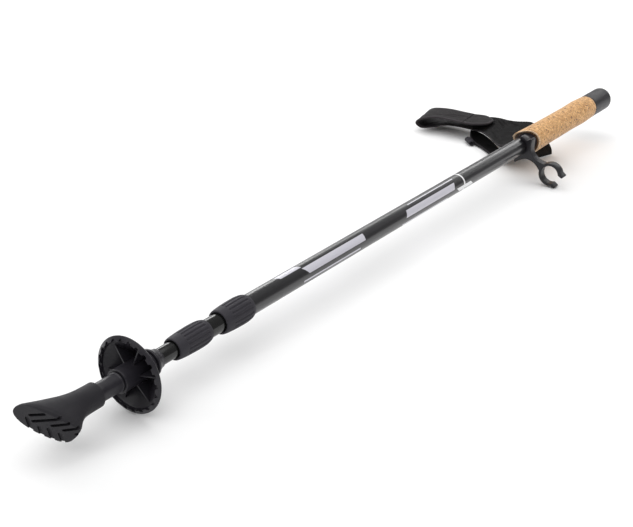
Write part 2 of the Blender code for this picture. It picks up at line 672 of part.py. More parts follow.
def ribbon(name, left, right, thickness, parent, rows=14, columns=3):
    """A cloth strip between two edges, in millimetres from the strap's anchor on the ground."""
    def place(points):
        side = CORK_LIP_R / MM
        at = [(x * STRAP_SPREAD, side + (y - STRAP_DRAWING["side"]) * STRAP_SPREAD, z * STRAP_LIFT)
              for x, y, z in points]
        return smooth_line(at, rows)

    mesh = bpy.data.meshes.new(name)
    made = bmesh.new()
    grid = []
    for a, b in zip(place(left), place(right)):
        grid.append([made.verts.new(a.lerp(b, i / columns)) for i in range(columns + 1)])
    for one, two in zip(grid, grid[1:]):
        for i in range(columns):
            made.faces.new((one[i], one[i + 1], two[i + 1], two[i]))
    made.to_mesh(mesh)
    made.free()
    away = Vector((0.0, 0.0, 0.0)) if parent is strap_ground else -parent.location
    strip = new_part(name, mesh, WEBBING, parent, away)
    cloth = strip.modifiers.new("thickness", "SOLIDIFY")
    cloth.thickness = thickness
    cloth.offset = 0.0
    return strip


def palm_panel():
    far = [(67, 103, 16.8), (71, 92.7, 18.9), (64.6, 78.9, 21.6), (51.8, 63.6, 25.2), (41.6, 47.8, 29),
           (33, 30, 33.8), (28, 22, 34.3), (22, 15.4, 32.5)]
    near = [(43, 100, 9.8), (36, 90, 12), (19, 75, 16), (1, 60, 19.3), (-18, 45, 21.5), (-33, 31, 24),
            (-35, 22, 27.5), (-30, 15.4, 30.5)]
    ribbon("palm_panel", near, far, PANEL_T, swing, rows=18, columns=4)


def wrist_band():
    near = [(29, 108, 20.2), (31, 120, 20), (33, 137, 19.5), (31, 148, 18.6), (25, 158, 16.3),
            (24, 162.5, 11.5), (30, 159, 6), (38, 151.5, 5.6), (45, 140, 8.4), (48, 127, 9),
            (47, 114, 9.2), (43.8, 102, 9.8)]
    far = [(66.5, 112.1, 20.3), (67, 125, 20.4), (69, 140, 20.2), (69, 153, 19.6), (68, 165, 17.8),
           (70, 172.5, 12), (72, 168, 6), (73, 156, 5.4), (75, 143, 7.2), (75, 129, 9.6),
           (72.5, 116, 13.6), (68.6, 105, 16.7)]
    ribbon("wrist_band", near, far, BAND_T, swing, rows=33)


def closure_flap():
    near = [(28.8, 107.1, 20.2), (29.5, 95, 20.6), (34.7, 79.4, 22.2)]
    far = [(66.4, 111.2, 20.3), (66.1, 96.6, 20.9), (50.1, 79, 22.6)]
    ribbon("closure_flap", near, far, BAND_T, peel, rows=6)


def thumb_band():
    outer = [(50.3, 108, 6.2), (34.5, 99.6, 4), (23.3, 89.6, 2.6), (13.6, 75.6, 2.2), (-2.6, 56.7, 3),
             (-22, 38, 8), (-28, 25, 15), (-27, 18.5, 24)]
    inner = [(50, 97.1, 6.2), (48.7, 89.1, 4.2), (40.8, 77.3, 3), (28.1, 64.9, 3), (15.1, 53.7, 4),
             (-4, 33, 8), (-10, 22, 15), (-9, 18, 24)]
    ribbon("thumb_band", outer, inner, BAND_T, swing)


def size_tab():
    """A short loop of tape, sewn to the edge of the thumb band."""
    near = [(19.0, 86.0, 2.2), (16.6, 88.7, 1.6), (15.1, 90.3, 3.7), (16.6, 88.7, 5.8), (18.4, 86.7, 5.6)]
    far = [(30.6, 97.8, 2.2), (28.2, 100.5, 1.6), (26.7, 102.1, 3.7), (28.2, 100.5, 5.8), (30, 98.5, 5.6)]
    ribbon("size_tab", near, far, 1.2 * MM, swing, rows=10, columns=2)


def strap_tail():
    near = [(8, 14.8, 29.5), (8, 17.8, 22), (9, 17.2, 14), (12, 14.8, 8), (17, 12.8, 4.5), (22, 11.7, 1.8)]
    far = [(42, 14.8, 29.5), (43, 17, 22), (43, 14, 15), (41.5, 9.5, 11), (40.5, 6.5, 6.5), (39.2, 5.2, 1.8)]
    ribbon("strap_tail", near, far, TAIL_T, strap_ground)


def make_solid(obj):
    """Takes the shaped mesh as the object's own, smooth except at its edges."""
    graph = bpy.context.evaluated_depsgraph_get()
    mesh = bpy.data.meshes.new_from_object(obj.evaluated_get(graph))
    obj.modifiers.clear()
    obj.data = mesh
    mesh.name = obj.name
    mesh.shade_smooth()
    mesh.set_sharp_from_angle(angle=math.radians(SHARP_DEG))


clear_scene()
POLE = new_collection("walking_pole")
CUTTERS = new_collection("cutters")

GLOSS_BLACK = material("gloss_black_tube", (0.012, 0.012, 0.014), 0.22)
ANODISED = material("black_anodised_tube", (0.015, 0.015, 0.017), 0.3, 0.6)
PLASTIC = material("black_moulded_plastic", (0.018, 0.018, 0.02), 0.5)
PALE_PLASTIC = material("grey_nylon", (0.25, 0.25, 0.24), 0.55)
RUBBER = material("black_rubber", (0.024, 0.024, 0.026), 0.72)
CORK = material("cork", (0.52, 0.3, 0.14), 0.85)
WEBBING = material("black_webbing", (0.014, 0.012, 0.013), 0.9)
STEEL = material("steel", (0.5, 0.5, 0.5), 0.3, 1.0)

clip_turn = math.radians(CLIP_TURN_DEG)
lip_u, lip_v = polar(CLIP_REACH, 0.0, LIP_R, LIP_DEG)
clip_drop = -lip_u * math.sin(clip_turn) + lip_v * abs(math.cos(clip_turn))
incline = math.atan((clip_drop - BASKET_R) / (CLIP_START - RIM_PLANE))
axis_height = BASKET_R * math.cos(incline) - RIM_PLANE * math.sin(incline)

TAPE_AT = GRIP_START + TAPE_FROM_GRIP
tape_height = axis_height + TAPE_AT * math.sin(incline)
STRAP_LIFT = tape_height / (STRAP_DRAWING["height"] * MM)

pole = new_empty("pole", None)
shaft = new_empty("shaft", pole, (0.0, 0.0, axis_height))
shaft.rotation_euler = (0.0, math.pi / 2 - incline, 0.0)
strap_ground = new_empty("strap_ground", pole, (TAPE_AT * math.cos(incline), 0.0, 0.0))
tape_side = math.radians(TAPE_TURN_DEG)
swing = new_empty("strap_hinge", strap_ground, (0.0, (CORK_LIP_R + 0.6 * MM) * math.cos(tape_side),
                                                tape_height + CORK_LIP_R * math.sin(tape_side)))
peel_side = CORK_LIP_R + (109.6 - STRAP_DRAWING["side"]) * MM * STRAP_SPREAD
peel = new_empty("closure_hinge", strap_ground, (47.7 * MM * STRAP_SPREAD, peel_side,
                                                 20.25 * MM * STRAP_LIFT + BAND_T / 2 + GAP))

strap_slot = slot_cutter()
upper_tube()
middle_tube()
lower_tube()
lock_sleeve("upper_lock_sleeve", UPPER_TUBE_R, MIDDLE_TUBE_R, UPPER_SLEEVE_START, UPPER_SLEEVE_LENGTH)
lock_sleeve("lower_lock_sleeve", MIDDLE_TUBE_R, LOWER_TUBE_R, LOWER_SLEEVE_START, LOWER_SLEEVE_LENGTH)
twist_lock("upper", UPPER_TUBE_R, MIDDLE_TUBE_TOP, MIDDLE_BORE_R, UPPER_BORE_R)
twist_lock("lower", MIDDLE_TUBE_R, LOWER_TUBE_TOP, LOWER_BORE_R, MIDDLE_BORE_R)
ferrule()
carbide_tip()
tip_washer()
basket()
paw()
pole_clip()
grip_core()
cork_grip()
grip_cap()
strap_anchor()
palm_panel()
wrist_band()
closure_flap()
thumb_band()
size_tab()
strap_tail()

bpy.context.view_layer.update()
for part in [obj for obj in POLE.objects if obj.type == "MESH"]:
    make_solid(part)
for tool in list(CUTTERS.objects):
    bpy.data.objects.remove(tool, do_unlink=True)

# The pole stands on the ground, centred on its own footprint
bpy.context.view_layer.update()
corners = [obj.matrix_world @ v.co for obj in POLE.objects if obj.type == "MESH" for v in obj.data.vertices]
low = Vector([min(c[i] for c in corners) for i in range(3)])
high = Vector([max(c[i] for c in corners) for i in range(3)])
pole.location = (-(low.x + high.x) / 2, -(low.y + high.y) / 2, -low.z)
bpy.context.view_layer.update()


def report_place(label, point):
    print(label, "at", [round(c, 5) for c in point])


print("size", [round(c, 4) for c in high - low], "incline", round(math.degrees(incline), 4))
report_place("toe end of the axis", shaft.matrix_world.translation)
report_place("along the pole", shaft.matrix_world.to_3x3() @ Vector((0.0, 0.0, 1.0)))
STATIONS = (("paw", PAW_BORE_FLOOR), ("basket", RIM_PLANE), ("lower lock", LOWER_TUBE_TOP),
            ("upper lock", MIDDLE_TUBE_TOP), ("clip", CLIP_MIDDLE), ("grip", TAPE_AT),
            ("cap end", CAP_END), ("clip front", CLIP_START))
for label, z in STATIONS:
    report_place(label, shaft.matrix_world @ Vector((0.0, 0.0, z)))
report_place("strap hinge", swing.matrix_world.translation)
report_place("closure hinge", peel.matrix_world.translation)
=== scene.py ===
"""Nordic walking pole: finishes, cork, cloth strap and studio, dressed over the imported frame.

Pieces of the pole are drawn in the pole's own frame, in millimetres: along runs from the toe of the
paw to the grip cap, and a turn of 0 degrees points to +Y, 90 degrees up. The strap is drawn in
millimetres from the point on the ground below its anchor.
"""
import json
import math

import bmesh
import bpy
import numpy as np
from mathutils import Matrix, Vector


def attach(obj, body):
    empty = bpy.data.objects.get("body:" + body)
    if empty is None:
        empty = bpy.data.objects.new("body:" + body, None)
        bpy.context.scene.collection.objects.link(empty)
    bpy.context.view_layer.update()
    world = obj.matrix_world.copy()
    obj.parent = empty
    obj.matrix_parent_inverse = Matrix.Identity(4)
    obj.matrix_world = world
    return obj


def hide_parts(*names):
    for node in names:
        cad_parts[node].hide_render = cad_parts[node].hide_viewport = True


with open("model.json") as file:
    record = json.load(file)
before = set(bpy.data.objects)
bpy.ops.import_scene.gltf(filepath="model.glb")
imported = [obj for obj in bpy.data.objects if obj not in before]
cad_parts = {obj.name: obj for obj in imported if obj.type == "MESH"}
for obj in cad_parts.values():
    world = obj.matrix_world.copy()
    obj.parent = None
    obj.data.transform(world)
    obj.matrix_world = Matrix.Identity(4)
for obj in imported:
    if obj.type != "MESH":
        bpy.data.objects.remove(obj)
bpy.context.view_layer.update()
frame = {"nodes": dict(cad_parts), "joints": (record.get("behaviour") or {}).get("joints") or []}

MM = 0.001
TAU = math.tau

# Stations along the pole
PAW_TOP = 57.0
HUB_FRONT = 76.5
BASKET_RIM = 85.2
HUB_BACK = 105.2
COLLAR_FACE = 105.7
COLLAR_TOP = 114.2
LOWER_TUBE = (109.2, 448.8)
LOWER_SLEEVE = (128.5, 162.5)
MIDDLE_TUBE = (132.8, 527.8)
UPPER_SLEEVE = (176.5, 208.3)
UPPER_TUBE = (180.8, 802.0)
CLIP = (643.1, 651.6)
CORK = (652.1, 807.0)
STRAP_AT = 699.7
CAP = (807.3, 849.0)

# Radii
UPPER_TUBE_R = 8.0
MIDDLE_TUBE_R = 7.0
LOWER_TUBE_R = 6.0
TUBE_WALL = 0.7
SHANK_R = 6.5
COLLAR_R = 9.75
HUB_R = 8.4
BASKET_R = 27.3
CORK_R = 12.5
CORK_LIP_R = 13.2
CAP_R = 12.2

AROUND = 192
WELD = 1e-7


# Where the pole lies
def joint(name):
    return next(j for j in frame["joints"] if j["name"] == name)


SLIDE = Vector(joint("upper_stage_slide")["axis"])
ALONG = -SLIDE.normalized()
SIDE = Vector((0.0, 1.0, 0.0))
UP = ALONG.cross(SIDE).normalized()
TOE = Vector(joint("basket_turn")["pos_m"]) - ALONG * BASKET_RIM * MM
POLE = Matrix(((ALONG.x, SIDE.x, UP.x, TOE.x), (ALONG.y, SIDE.y, UP.y, TOE.y),
               (ALONG.z, SIDE.z, UP.z, TOE.z), (0.0, 0.0, 0.0, 1.0)))
ANCHOR = TOE + ALONG * STRAP_AT * MM
STRAP_SIDE = 0.3
GROUND = Matrix.Translation((ANCHOR.x, ANCHOR.y + STRAP_SIDE * MM, 0.0))


# Lines and skins
def curve_through(points, count):
    """count + 1 points on a smooth curve through the given ones."""
    known = np.array(points, float)
    known = np.vstack([2 * known[0] - known[1], known, 2 * known[-1] - known[-2]])
    t = np.linspace(0.0, len(points) - 1.0, count + 1)
    k = np.minimum(t.astype(int), len(points) - 2)
    t = (t - k)[:, None]
    a, b, c, d = known[k], known[k + 1], known[k + 2], known[k + 3]
    square, cube = 2 * a - 5 * b + 4 * c - d, 3 * b - a - 3 * c + d
    return 0.5 * (2 * b + (c - a) * t + square * t ** 2 + cube * t ** 3)


def softened(outline, radius, steps=5, closed=False):
    """The outline with its corners rounded. A point may carry its own radius as a third number."""
    points = [np.array(p[:2], float) for p in outline]
    radii = [p[2] if len(p) > 2 else radius for p in outline]
    line = []
    for i, here in enumerate(points):
        if not closed and i in (0, len(points) - 1):
            line.append(here)
            continue
        before, after = points[i - 1], points[(i + 1) % len(points)]
        back, on = before - here, after - here
        reach = min(radii[i], 0.49 * np.linalg.norm(back), 0.49 * np.linalg.norm(on))
        start = here + back / max(np.linalg.norm(back), 1e-9) * reach
        end = here + on / max(np.linalg.norm(on), 1e-9) * reach
        for t in np.linspace(0.0, 1.0, steps + 1):
            line.append((1 - t) ** 2 * start + 2 * t * (1 - t) * here + t ** 2 * end)
    return np.array(line)


def parted(outline, step):
    """The outline with points no further apart than step."""
    line = [outline[0]]
    for here in outline[1:]:
        pieces = max(int(np.ceil(np.linalg.norm(here - line[-1]) / step)), 1)
        start = line[-1]
        line += [start + (here - start) * (i + 1) / pieces for i in range(pieces)]
    return np.array(line)


def hung_on(name, data, place):
    """A mesh, lamp or camera as an object of the scene."""
    obj = bpy.data.objects.new(name, data)
    bpy.context.scene.collection.objects.link(obj)
    obj.matrix_world = place
    return obj


def formed(name, made, place=POLE):
    """What was built up point by point, as an object."""
    mesh = bpy.data.meshes.new(name)
    made.to_mesh(mesh)
    made.free()
    return hung_on(name, mesh, place)


def smoothed(obj, crease):
    """Smooth faces, with a sharp edge where they bend by more than crease degrees."""
    obj.data.shade_smooth()
    obj.data.set_sharp_from_angle(angle=math.radians(crease))
    return obj


def belt(made, one, two):
    """Faces all the way round between two rings of points."""
    for j in range(len(one)):
        k = (j + 1) % len(one)
        made.faces.new((one[j], one[k], two[k], two[j]))


def prism(made, one, two):
    """Faces over two outlines with the same number of points, and between them."""
    made.faces.new(one)
    made.faces.new(reversed(two))
    for j in range(len(one)):
        k = (j + 1) % len(one)
        made.faces.new((one[j], two[j], two[k], one[k]))


def skin(name, grid, end_to_end=False, crease=40.0):
    """A mesh over rings of points in millimetres. The last ring may meet the first."""
    made = bmesh.new()
    verts = [[made.verts.new(p * MM) for p in row] for row in grid]
    for one, two in zip(verts, verts[1:] + verts[:1] if end_to_end else verts[1:]):
        belt(made, one, two)
    bmesh.ops.remove_doubles(made, verts=made.verts, dist=WELD)
    bmesh.ops.dissolve_degenerate(made, edges=made.edges, dist=WELD)
    bmesh.ops.recalc_face_normals(made, faces=made.faces)
    return smoothed(formed(name, made), crease)


def turns_of(count):
    """Evenly spaced turns, in radians."""
    return np.arange(count) / count * TAU


def rings(along, radius, turns):
    """Points round the pole's axis."""
    return np.stack(np.broadcast_arrays(along, radius * np.cos(turns), radius * np.sin(turns)), -1)


def turned(name, outline, relief=None, around=AROUND):
    """A turned piece. The outline is (along, radius), and closes on itself unless it starts on the axis.

    relief returns how much the radius changes.
    """
    turns = turns_of(around)
    along, radius = outline[:, :1], outline[:, 1:2]
    if relief is not None:
        radius = radius + relief(along, radius, turns)
    return skin(name, rings(along, radius, turns), end_to_end=outline[0, 1] > 0.0)


def applied(obj):
    """The object with its modifiers made part of its mesh."""
    graph = bpy.context.evaluated_depsgraph_get()
    mesh = bpy.data.meshes.new_from_object(obj.evaluated_get(graph))
    obj.modifiers.clear()
    obj.data = mesh
    return obj


def cut(obj, tool, operation="DIFFERENCE"):
    """The object with the tool's shape taken out of it, or joined to it."""
    step = obj.modifiers.new("cut", "BOOLEAN")
    step.operation = operation
    step.solver = "EXACT"
    step.object = tool
    applied(obj)
    bpy.data.objects.remove(tool, do_unlink=True)


def smoothstep(low, high, value):
    """0 below low, 1 above high, with a soft start and end between them."""
    t = np.clip((value - low) / (high - low), 0.0, 1.0)
    return t * t * (3.0 - 2.0 * t)


def dress(obj, finish, body, node):
    """Gives a piece its finish and the body it rides on, and hides the frame node that it stands for."""
    obj.data.materials.clear()
    obj.data.materials.append(finish)
    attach(obj, body)
    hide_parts(node)


# Finishes
def effect(name, inputs, outputs):
    """An empty node group, its bench, and its inputs and outputs to draw from. An input without a
    value is a place, and all the others are numbers."""
    group = bpy.data.node_groups.new(name, "ShaderNodeTree")
    for label, value in inputs.items():
        kind = "NodeSocketVector" if value is None else "NodeSocketFloat"
        socket = group.interface.new_socket(name=label, in_out="INPUT", socket_type=kind)
        if value is not None:
            socket.default_value = value
    for label in outputs:
        group.interface.new_socket(name=label, in_out="OUTPUT", socket_type="NodeSocketFloat")
    start = group.nodes.new("NodeGroupInput")
    end = group.nodes.new("NodeGroupOutput")
    return group, Bench(group), start.outputs, end.inputs


class Bench:
    """Short ways to add nodes to one tree."""

    def __init__(self, tree):
        self.tree = tree

    def link(self, source, target):
        self.tree.links.new(source, target)

    def feed(self, socket, value):
        if isinstance(value, bpy.types.NodeSocket):
            self.link(value, socket)
        else:
            socket.default_value = value

    def node(self, kind, fed=None, **settings):
        """A node with its settings, and its sockets fed by name or number."""
        made = self.tree.nodes.new("ShaderNode" + kind)
        for key, value in settings.items():
            setattr(made, key, value)
        for key, value in (fed or {}).items():
            self.feed(made.inputs[key], value)
        return made

    def group(self, group, **values):
        return self.node("Group", values, node_tree=group)

    def math(self, operation, *values, clamp=False):
        return self.node("Math", dict(enumerate(values)), operation=operation, use_clamp=clamp).outputs[0]

    def plus(self, a, b):
        return self.math("ADD", a, b)

    def minus(self, a, b):
        return self.math("SUBTRACT", a, b)

    def times(self, a, b, clamp=False):
        return self.math("MULTIPLY", a, b, clamp=clamp)

    def largest(self, values):
        most = values[0]
        for value in values[1:]:
            most = self.math("MAXIMUM", most, value)
        return most

    def reach(self, a, b):
        """The length of the line that goes a one way and b at right angles to it."""
        return self.math("SQRT", self.plus(self.math("POWER", a, 2.0), self.math("POWER", b, 2.0)))

    def ramp(self, value, low, high, to_low=0.0, to_high=1.0, course="LINEAR"):
        fed = {"Value": value, "From Min": low, "From Max": high, "To Min": to_low, "To Max": to_high}
        return self.node("MapRange", fed, interpolation_type=course).outputs[0]

    def between(self, value, low, high, soft):
        """1 where the value is between low and high, fading over soft."""
        rise = self.ramp(value, low - soft, low + soft, course="SMOOTHSTEP")
        fall = self.ramp(value, high + soft, high - soft, course="SMOOTHSTEP")
        return self.times(rise, fall)

    def noise(self, place, scale, detail, rough=0.55):
        fed = {"Vector": place, "Scale": scale, "Detail": detail, "Roughness": rough}
        return self.node("TexNoise", fed).outputs["Fac"]

    def mix(self, share, a, b):
        return self.node("Mix", {"Factor": share, 6: a, 7: b}, data_type="RGBA").outputs[2]

    def apart(self, vector):
        return self.node("SeparateXYZ", {0: vector}).outputs

    def stretched(self, vector, scale):
        return self.node("Mapping", {"Vector": vector, "Scale": scale}).outputs[0]


def grey(value, warm=0.0):
    """A grey, warmer by a share of its value."""
    return (value * (1.0 + warm), value, value * (1.0 - warm), 1.0)


def ink(value, red=0.08, blue=0.28):
    """A near-black with the faint violet of black plastic, rubber and cloth."""
    return (value * (1.0 + red), value, value * (1.0 + blue), 1.0)


def grain_effect():
    """Fine moulded or painted grain: a broad tone to vary the colour with, and a fine height."""
    group, bench, given, gives = effect(
        "surface grain", {"Size": 0.4, "Patches": 9.0, "Place": None}, ["Tone", "Height"])
    place = given["Place"]
    broad = bench.math("DIVIDE", 1.0 / MM, given["Patches"])
    fine = bench.math("DIVIDE", 1.0 / MM, given["Size"])
    bench.link(bench.noise(place, broad, 3.0), gives["Tone"])
    bench.link(bench.noise(place, fine, 4.0, 0.6), gives["Height"])
    return group


def wear_effect():
    """Where edges have been rubbed: 1 on sharp edges, broken up by noise."""
    group, bench, given, gives = effect(
        "edge wear", {"Width": 0.4, "Amount": 0.5, "Place": None}, ["Mask"])
    width = bench.times(given["Width"], MM)
    rounded = bench.node("Bevel", {"Radius": width}, samples=4).outputs[0]
    flat = bench.node("NewGeometry").outputs["Normal"]
    agree = bench.node("VectorMath", {0: rounded, 1: flat}, operation="DOT_PRODUCT").outputs["Value"]
    bend = bench.ramp(agree, 0.995, 0.8)
    broken = bench.ramp(bench.noise(given["Place"], 900.0, 4.0), 0.42, 0.62)
    mask = bench.times(bench.times(bend, broken), given["Amount"], clamp=True)
    bench.link(mask, gives["Mask"])
    return group


def dust_effect():
    """A thin film of dust: more on what faces up, and patchy."""
    group, bench, given, gives = effect("dust film", {"Amount": 0.1, "Place": None}, ["Mask"])
    upward = bench.apart(bench.node("NewGeometry").outputs["Normal"])["Z"]
    facing_up = bench.ramp(upward, -0.2, 1.0)
    patchy = bench.ramp(bench.noise(given["Place"], 130.0, 6.0, 0.65), 0.35, 0.75)
    mask = bench.times(bench.times(facing_up, patchy), given["Amount"], clamp=True)
    bench.link(mask, gives["Mask"])
    return group


def weave_effect():
    """Warp and weft crossing over and under: the yarn's height, and a tone that is low between yarns, which
    is painted shade in the hollows.
    """
    group, bench, given, gives = effect(
        "woven yarn", {"Across": 0.0, "Along": 0.0, "Pitch": 0.5}, ["Height", "Tone"])
    waves = []
    for label in ("Across", "Along"):
        turn = bench.math("DIVIDE", given[label], given["Pitch"])
        waves.append(bench.math("SINE", bench.times(turn, math.pi)))
    product = bench.times(*waves)
    over = bench.times(bench.math("ABSOLUTE", waves[0]), bench.ramp(product, -1.0, 1.0))
    under = bench.times(bench.math("ABSOLUTE", waves[1]), bench.ramp(product, 1.0, -1.0))
    height = bench.math("MAXIMUM", over, under)
    bench.link(height, gives["Height"])
    # Painted shade: the tone falls where the yarn lies low.
    bench.link(bench.ramp(height, 0.0, 1.0, 0.6, 1.0), gives["Tone"])
    return group


GRAIN = grain_effect()
WEAR = wear_effect()
DUST = dust_effect()
WEAVE = weave_effect()


class Finish(Bench):
    """A material with its Principled shader and the common effects to hand."""

    def __init__(self, name, roughness, metallic=0.0, **constants):
        self.made = bpy.data.materials.new(name)
        self.made.use_nodes = True
        super().__init__(self.made.node_tree)
        self.shader = self.tree.nodes["Principled BSDF"]
        self.shader.inputs["Roughness"].default_value = roughness
        self.shader.inputs["Metallic"].default_value = metallic
        for key, value in constants.items():
            self.shader.inputs[key.replace("_", " ")].default_value = value
        self.place = self.node("TexCoord").outputs["Object"]

    def grain(self, size, patches):
        return self.group(GRAIN, Size=size, Patches=patches, Place=self.place).outputs

    def wear(self, width, amount):
        return self.group(WEAR, Width=width, Amount=amount, Place=self.place).outputs["Mask"]

    def dust(self, amount):
        return self.group(DUST, Amount=amount, Place=self.place).outputs["Mask"]

    def colour(self, value):
        self.feed(self.shader.inputs["Base Color"], value)

    def roughness(self, value):
        self.feed(self.shader.inputs["Roughness"], value)

    def bump(self, height, distance):
        """Relief of some millimetres, over what was laid before."""
        made = self.node("Bump", {"Strength": 1.0, "Distance": distance * MM, "Height": height})
        normal = self.shader.inputs["Normal"]
        if normal.is_linked:
            self.link(normal.links[0].from_socket, made.inputs["Normal"])
        self.link(made.outputs[0], normal)


def moulded(name, dark, light, rough, grain_size=0.35, depth=0.02, wear=0.35, dust=0.08, shine=0.5):
    """Moulded plastic or rubber: dark, a little uneven, fine grain, paler where rubbed."""
    finish = Finish(name, rough, Specular_IOR_Level=shine)
    grain = finish.grain(grain_size, 12.0)
    rubbed = grey(light[1] * 3.0 + 0.02)
    tone = finish.mix(finish.wear(0.5, wear), finish.mix(grain["Tone"], dark, light), rubbed)
    finish.colour(finish.mix(finish.dust(dust), tone, grey(0.32, 0.05)))
    finish.roughness(finish.ramp(grain["Tone"], 0.3, 0.7, rough - 0.05, rough + 0.07))
    finish.bump(grain["Height"], depth)
    return finish.made


PLASTIC = moulded("satin moulded plastic", ink(0.014), ink(0.020), 0.34, wear=0.15, dust=0.015, shine=0.32)
CLIP_PLASTIC = moulded("clip plastic", ink(0.008), ink(0.013), 0.36, wear=0.2, dust=0.02, shine=0.38)
SLEEVE_RUBBER = moulded("soft grip sleeve", ink(0.021), ink(0.029), 0.6, 0.3, 0.03, 0.2, 0.02, 0.3)
PAW_RUBBER = moulded("paw rubber", ink(0.010), ink(0.016), 0.62, 0.5, 0.05, 0.3, 0.02, 0.3)
CAP_RUBBER = moulded("cap rubber", ink(0.011), ink(0.016), 0.42, 0.4, 0.03, 0.2, 0.02, 0.45)
NYLON = moulded("grey nylon", grey(0.22, 0.02), grey(0.27, 0.02), 0.5, 0.3, 0.01)


def steel():
    """Bright turned steel, for the parts inside the tubes."""
    finish = Finish("machined steel", 0.28, 1.0)
    grain = finish.grain(0.6, 6.0)
    finish.colour(finish.mix(grain["Tone"], grey(0.42), grey(0.56)))
    finish.roughness(finish.ramp(grain["Height"], 0.3, 0.7, 0.2, 0.36))
    finish.bump(grain["Height"], 0.004)
    return finish.made


def anodised():
    """Black anodised tube, drawn lengthwise."""
    finish = Finish("black anodised tube", 0.16)
    lengthwise = finish.stretched(finish.place, (0.06, 1.0, 1.0))
    drawn = finish.group(GRAIN, Size=0.25, Patches=5.0, Place=lengthwise).outputs["Height"]
    finish.colour(finish.mix(drawn, grey(0.004), grey(0.008)))
    finish.roughness(finish.ramp(drawn, 0.3, 0.7, 0.13, 0.2))
    finish.bump(drawn, 0.0008)
    return finish.made


STEEL = steel()
ANODISED = anodised()

# Prints on the upper tube: where they start and end, the turns they lie between, and by how many
# millimetres their start and their end slope
SILVER_PRINTS = [(273.5, 353.8, 117, 160.5, 5, -0.6), (268.3, 345.7, 187, 197.5, 0, 0),
                 (418, 500.5, 130.5, 174, -3, -3), (427.4, 505.2, 98, 105, 0, 0),
                 (244.5, 270, 76, 108, 4, 4), (413.6, 490.7, 205, 246, 6, 6),
                 (273.5, 353.8, 297, 340.5, 5, -0.6), (427.4, 505.2, 320, 327, 0, 0),
                 (268.3, 345.7, 7, 17.5, 0, 0), (418, 500.5, 10.5, 54, -3, -3),
                 (244.5, 270, 256, 288, 4, 4)]
WHITE_PRINTS = [(506.5, 532.5, 178, 209, 6, 6), (517, 519.1, -1, 361, 0, 0),
                (506.5, 532.5, 0, 29, 6, 6)]
PRINT_FADE = 0.12
PRINT_FADE_TURN = 7.0 * PRINT_FADE  # the same fade round the tube, in degrees


def lacquer():
    """Gloss black lacquer with the silver panels, the pin stripes, and the white ring and bar."""
    finish = Finish("printed gloss tube", 0.3, Coat_Weight=0.5, Coat_Roughness=0.2)
    spot = finish.apart(finish.place)
    along = finish.times(spot["X"], 1.0 / MM)
    turn = finish.times(finish.math("ARCTAN2", spot["Z"], spot["Y"]), 180.0 / math.pi)
    turn = finish.math("WRAP", turn, 0.0, 360.0)

    def patch(start, end, low, high, lean, end_lean):
        """1 inside one printed patch."""
        across = finish.math("DIVIDE", finish.minus(turn, (low + high) / 2), high - low)
        since = finish.minus(along, finish.times(across, lean))
        until = finish.minus(along, finish.times(across, end_lean))
        begun = finish.ramp(since, start - PRINT_FADE, start + PRINT_FADE)
        ended = finish.ramp(until, end + PRINT_FADE, end - PRINT_FADE)
        return finish.times(finish.times(begun, ended), finish.between(turn, low, high, PRINT_FADE_TURN))

    silvered = finish.largest([patch(*row) for row in SILVER_PRINTS])
    whitened = finish.largest([patch(*row) for row in WHITE_PRINTS])
    printed = finish.largest([silvered, whitened])
    grain = finish.grain(0.5, 14.0)
    silver = finish.mix(grain["Height"], (0.57, 0.56, 0.62, 1.0), (0.63, 0.62, 0.68, 1.0))
    silver = finish.mix(whitened, silver, (0.88, 0.88, 0.89, 1.0))
    black = finish.mix(grain["Tone"], ink(0.004), ink(0.008))
    black = finish.mix(finish.dust(0.012), black, grey(0.3))
    finish.colour(finish.mix(printed, black, silver))
    finish.roughness(finish.ramp(printed, 0.0, 1.0, 0.3, 0.38))
    finish.bump(printed, 0.02)
    return finish.made


GLOSS_TUBE = lacquer()


# The round bar that scoops the cork's mouth out: its radius and station, the turn its middle lies
# towards, and how far it lies from the pole's axis
SCOOP_R = 16.5
SCOOP_AT = CORK[0] - 4.0
SCOOP_TURN = math.radians(-127.4)
SCOOP_SHIFT = 4.0

GRANULES = 540.0


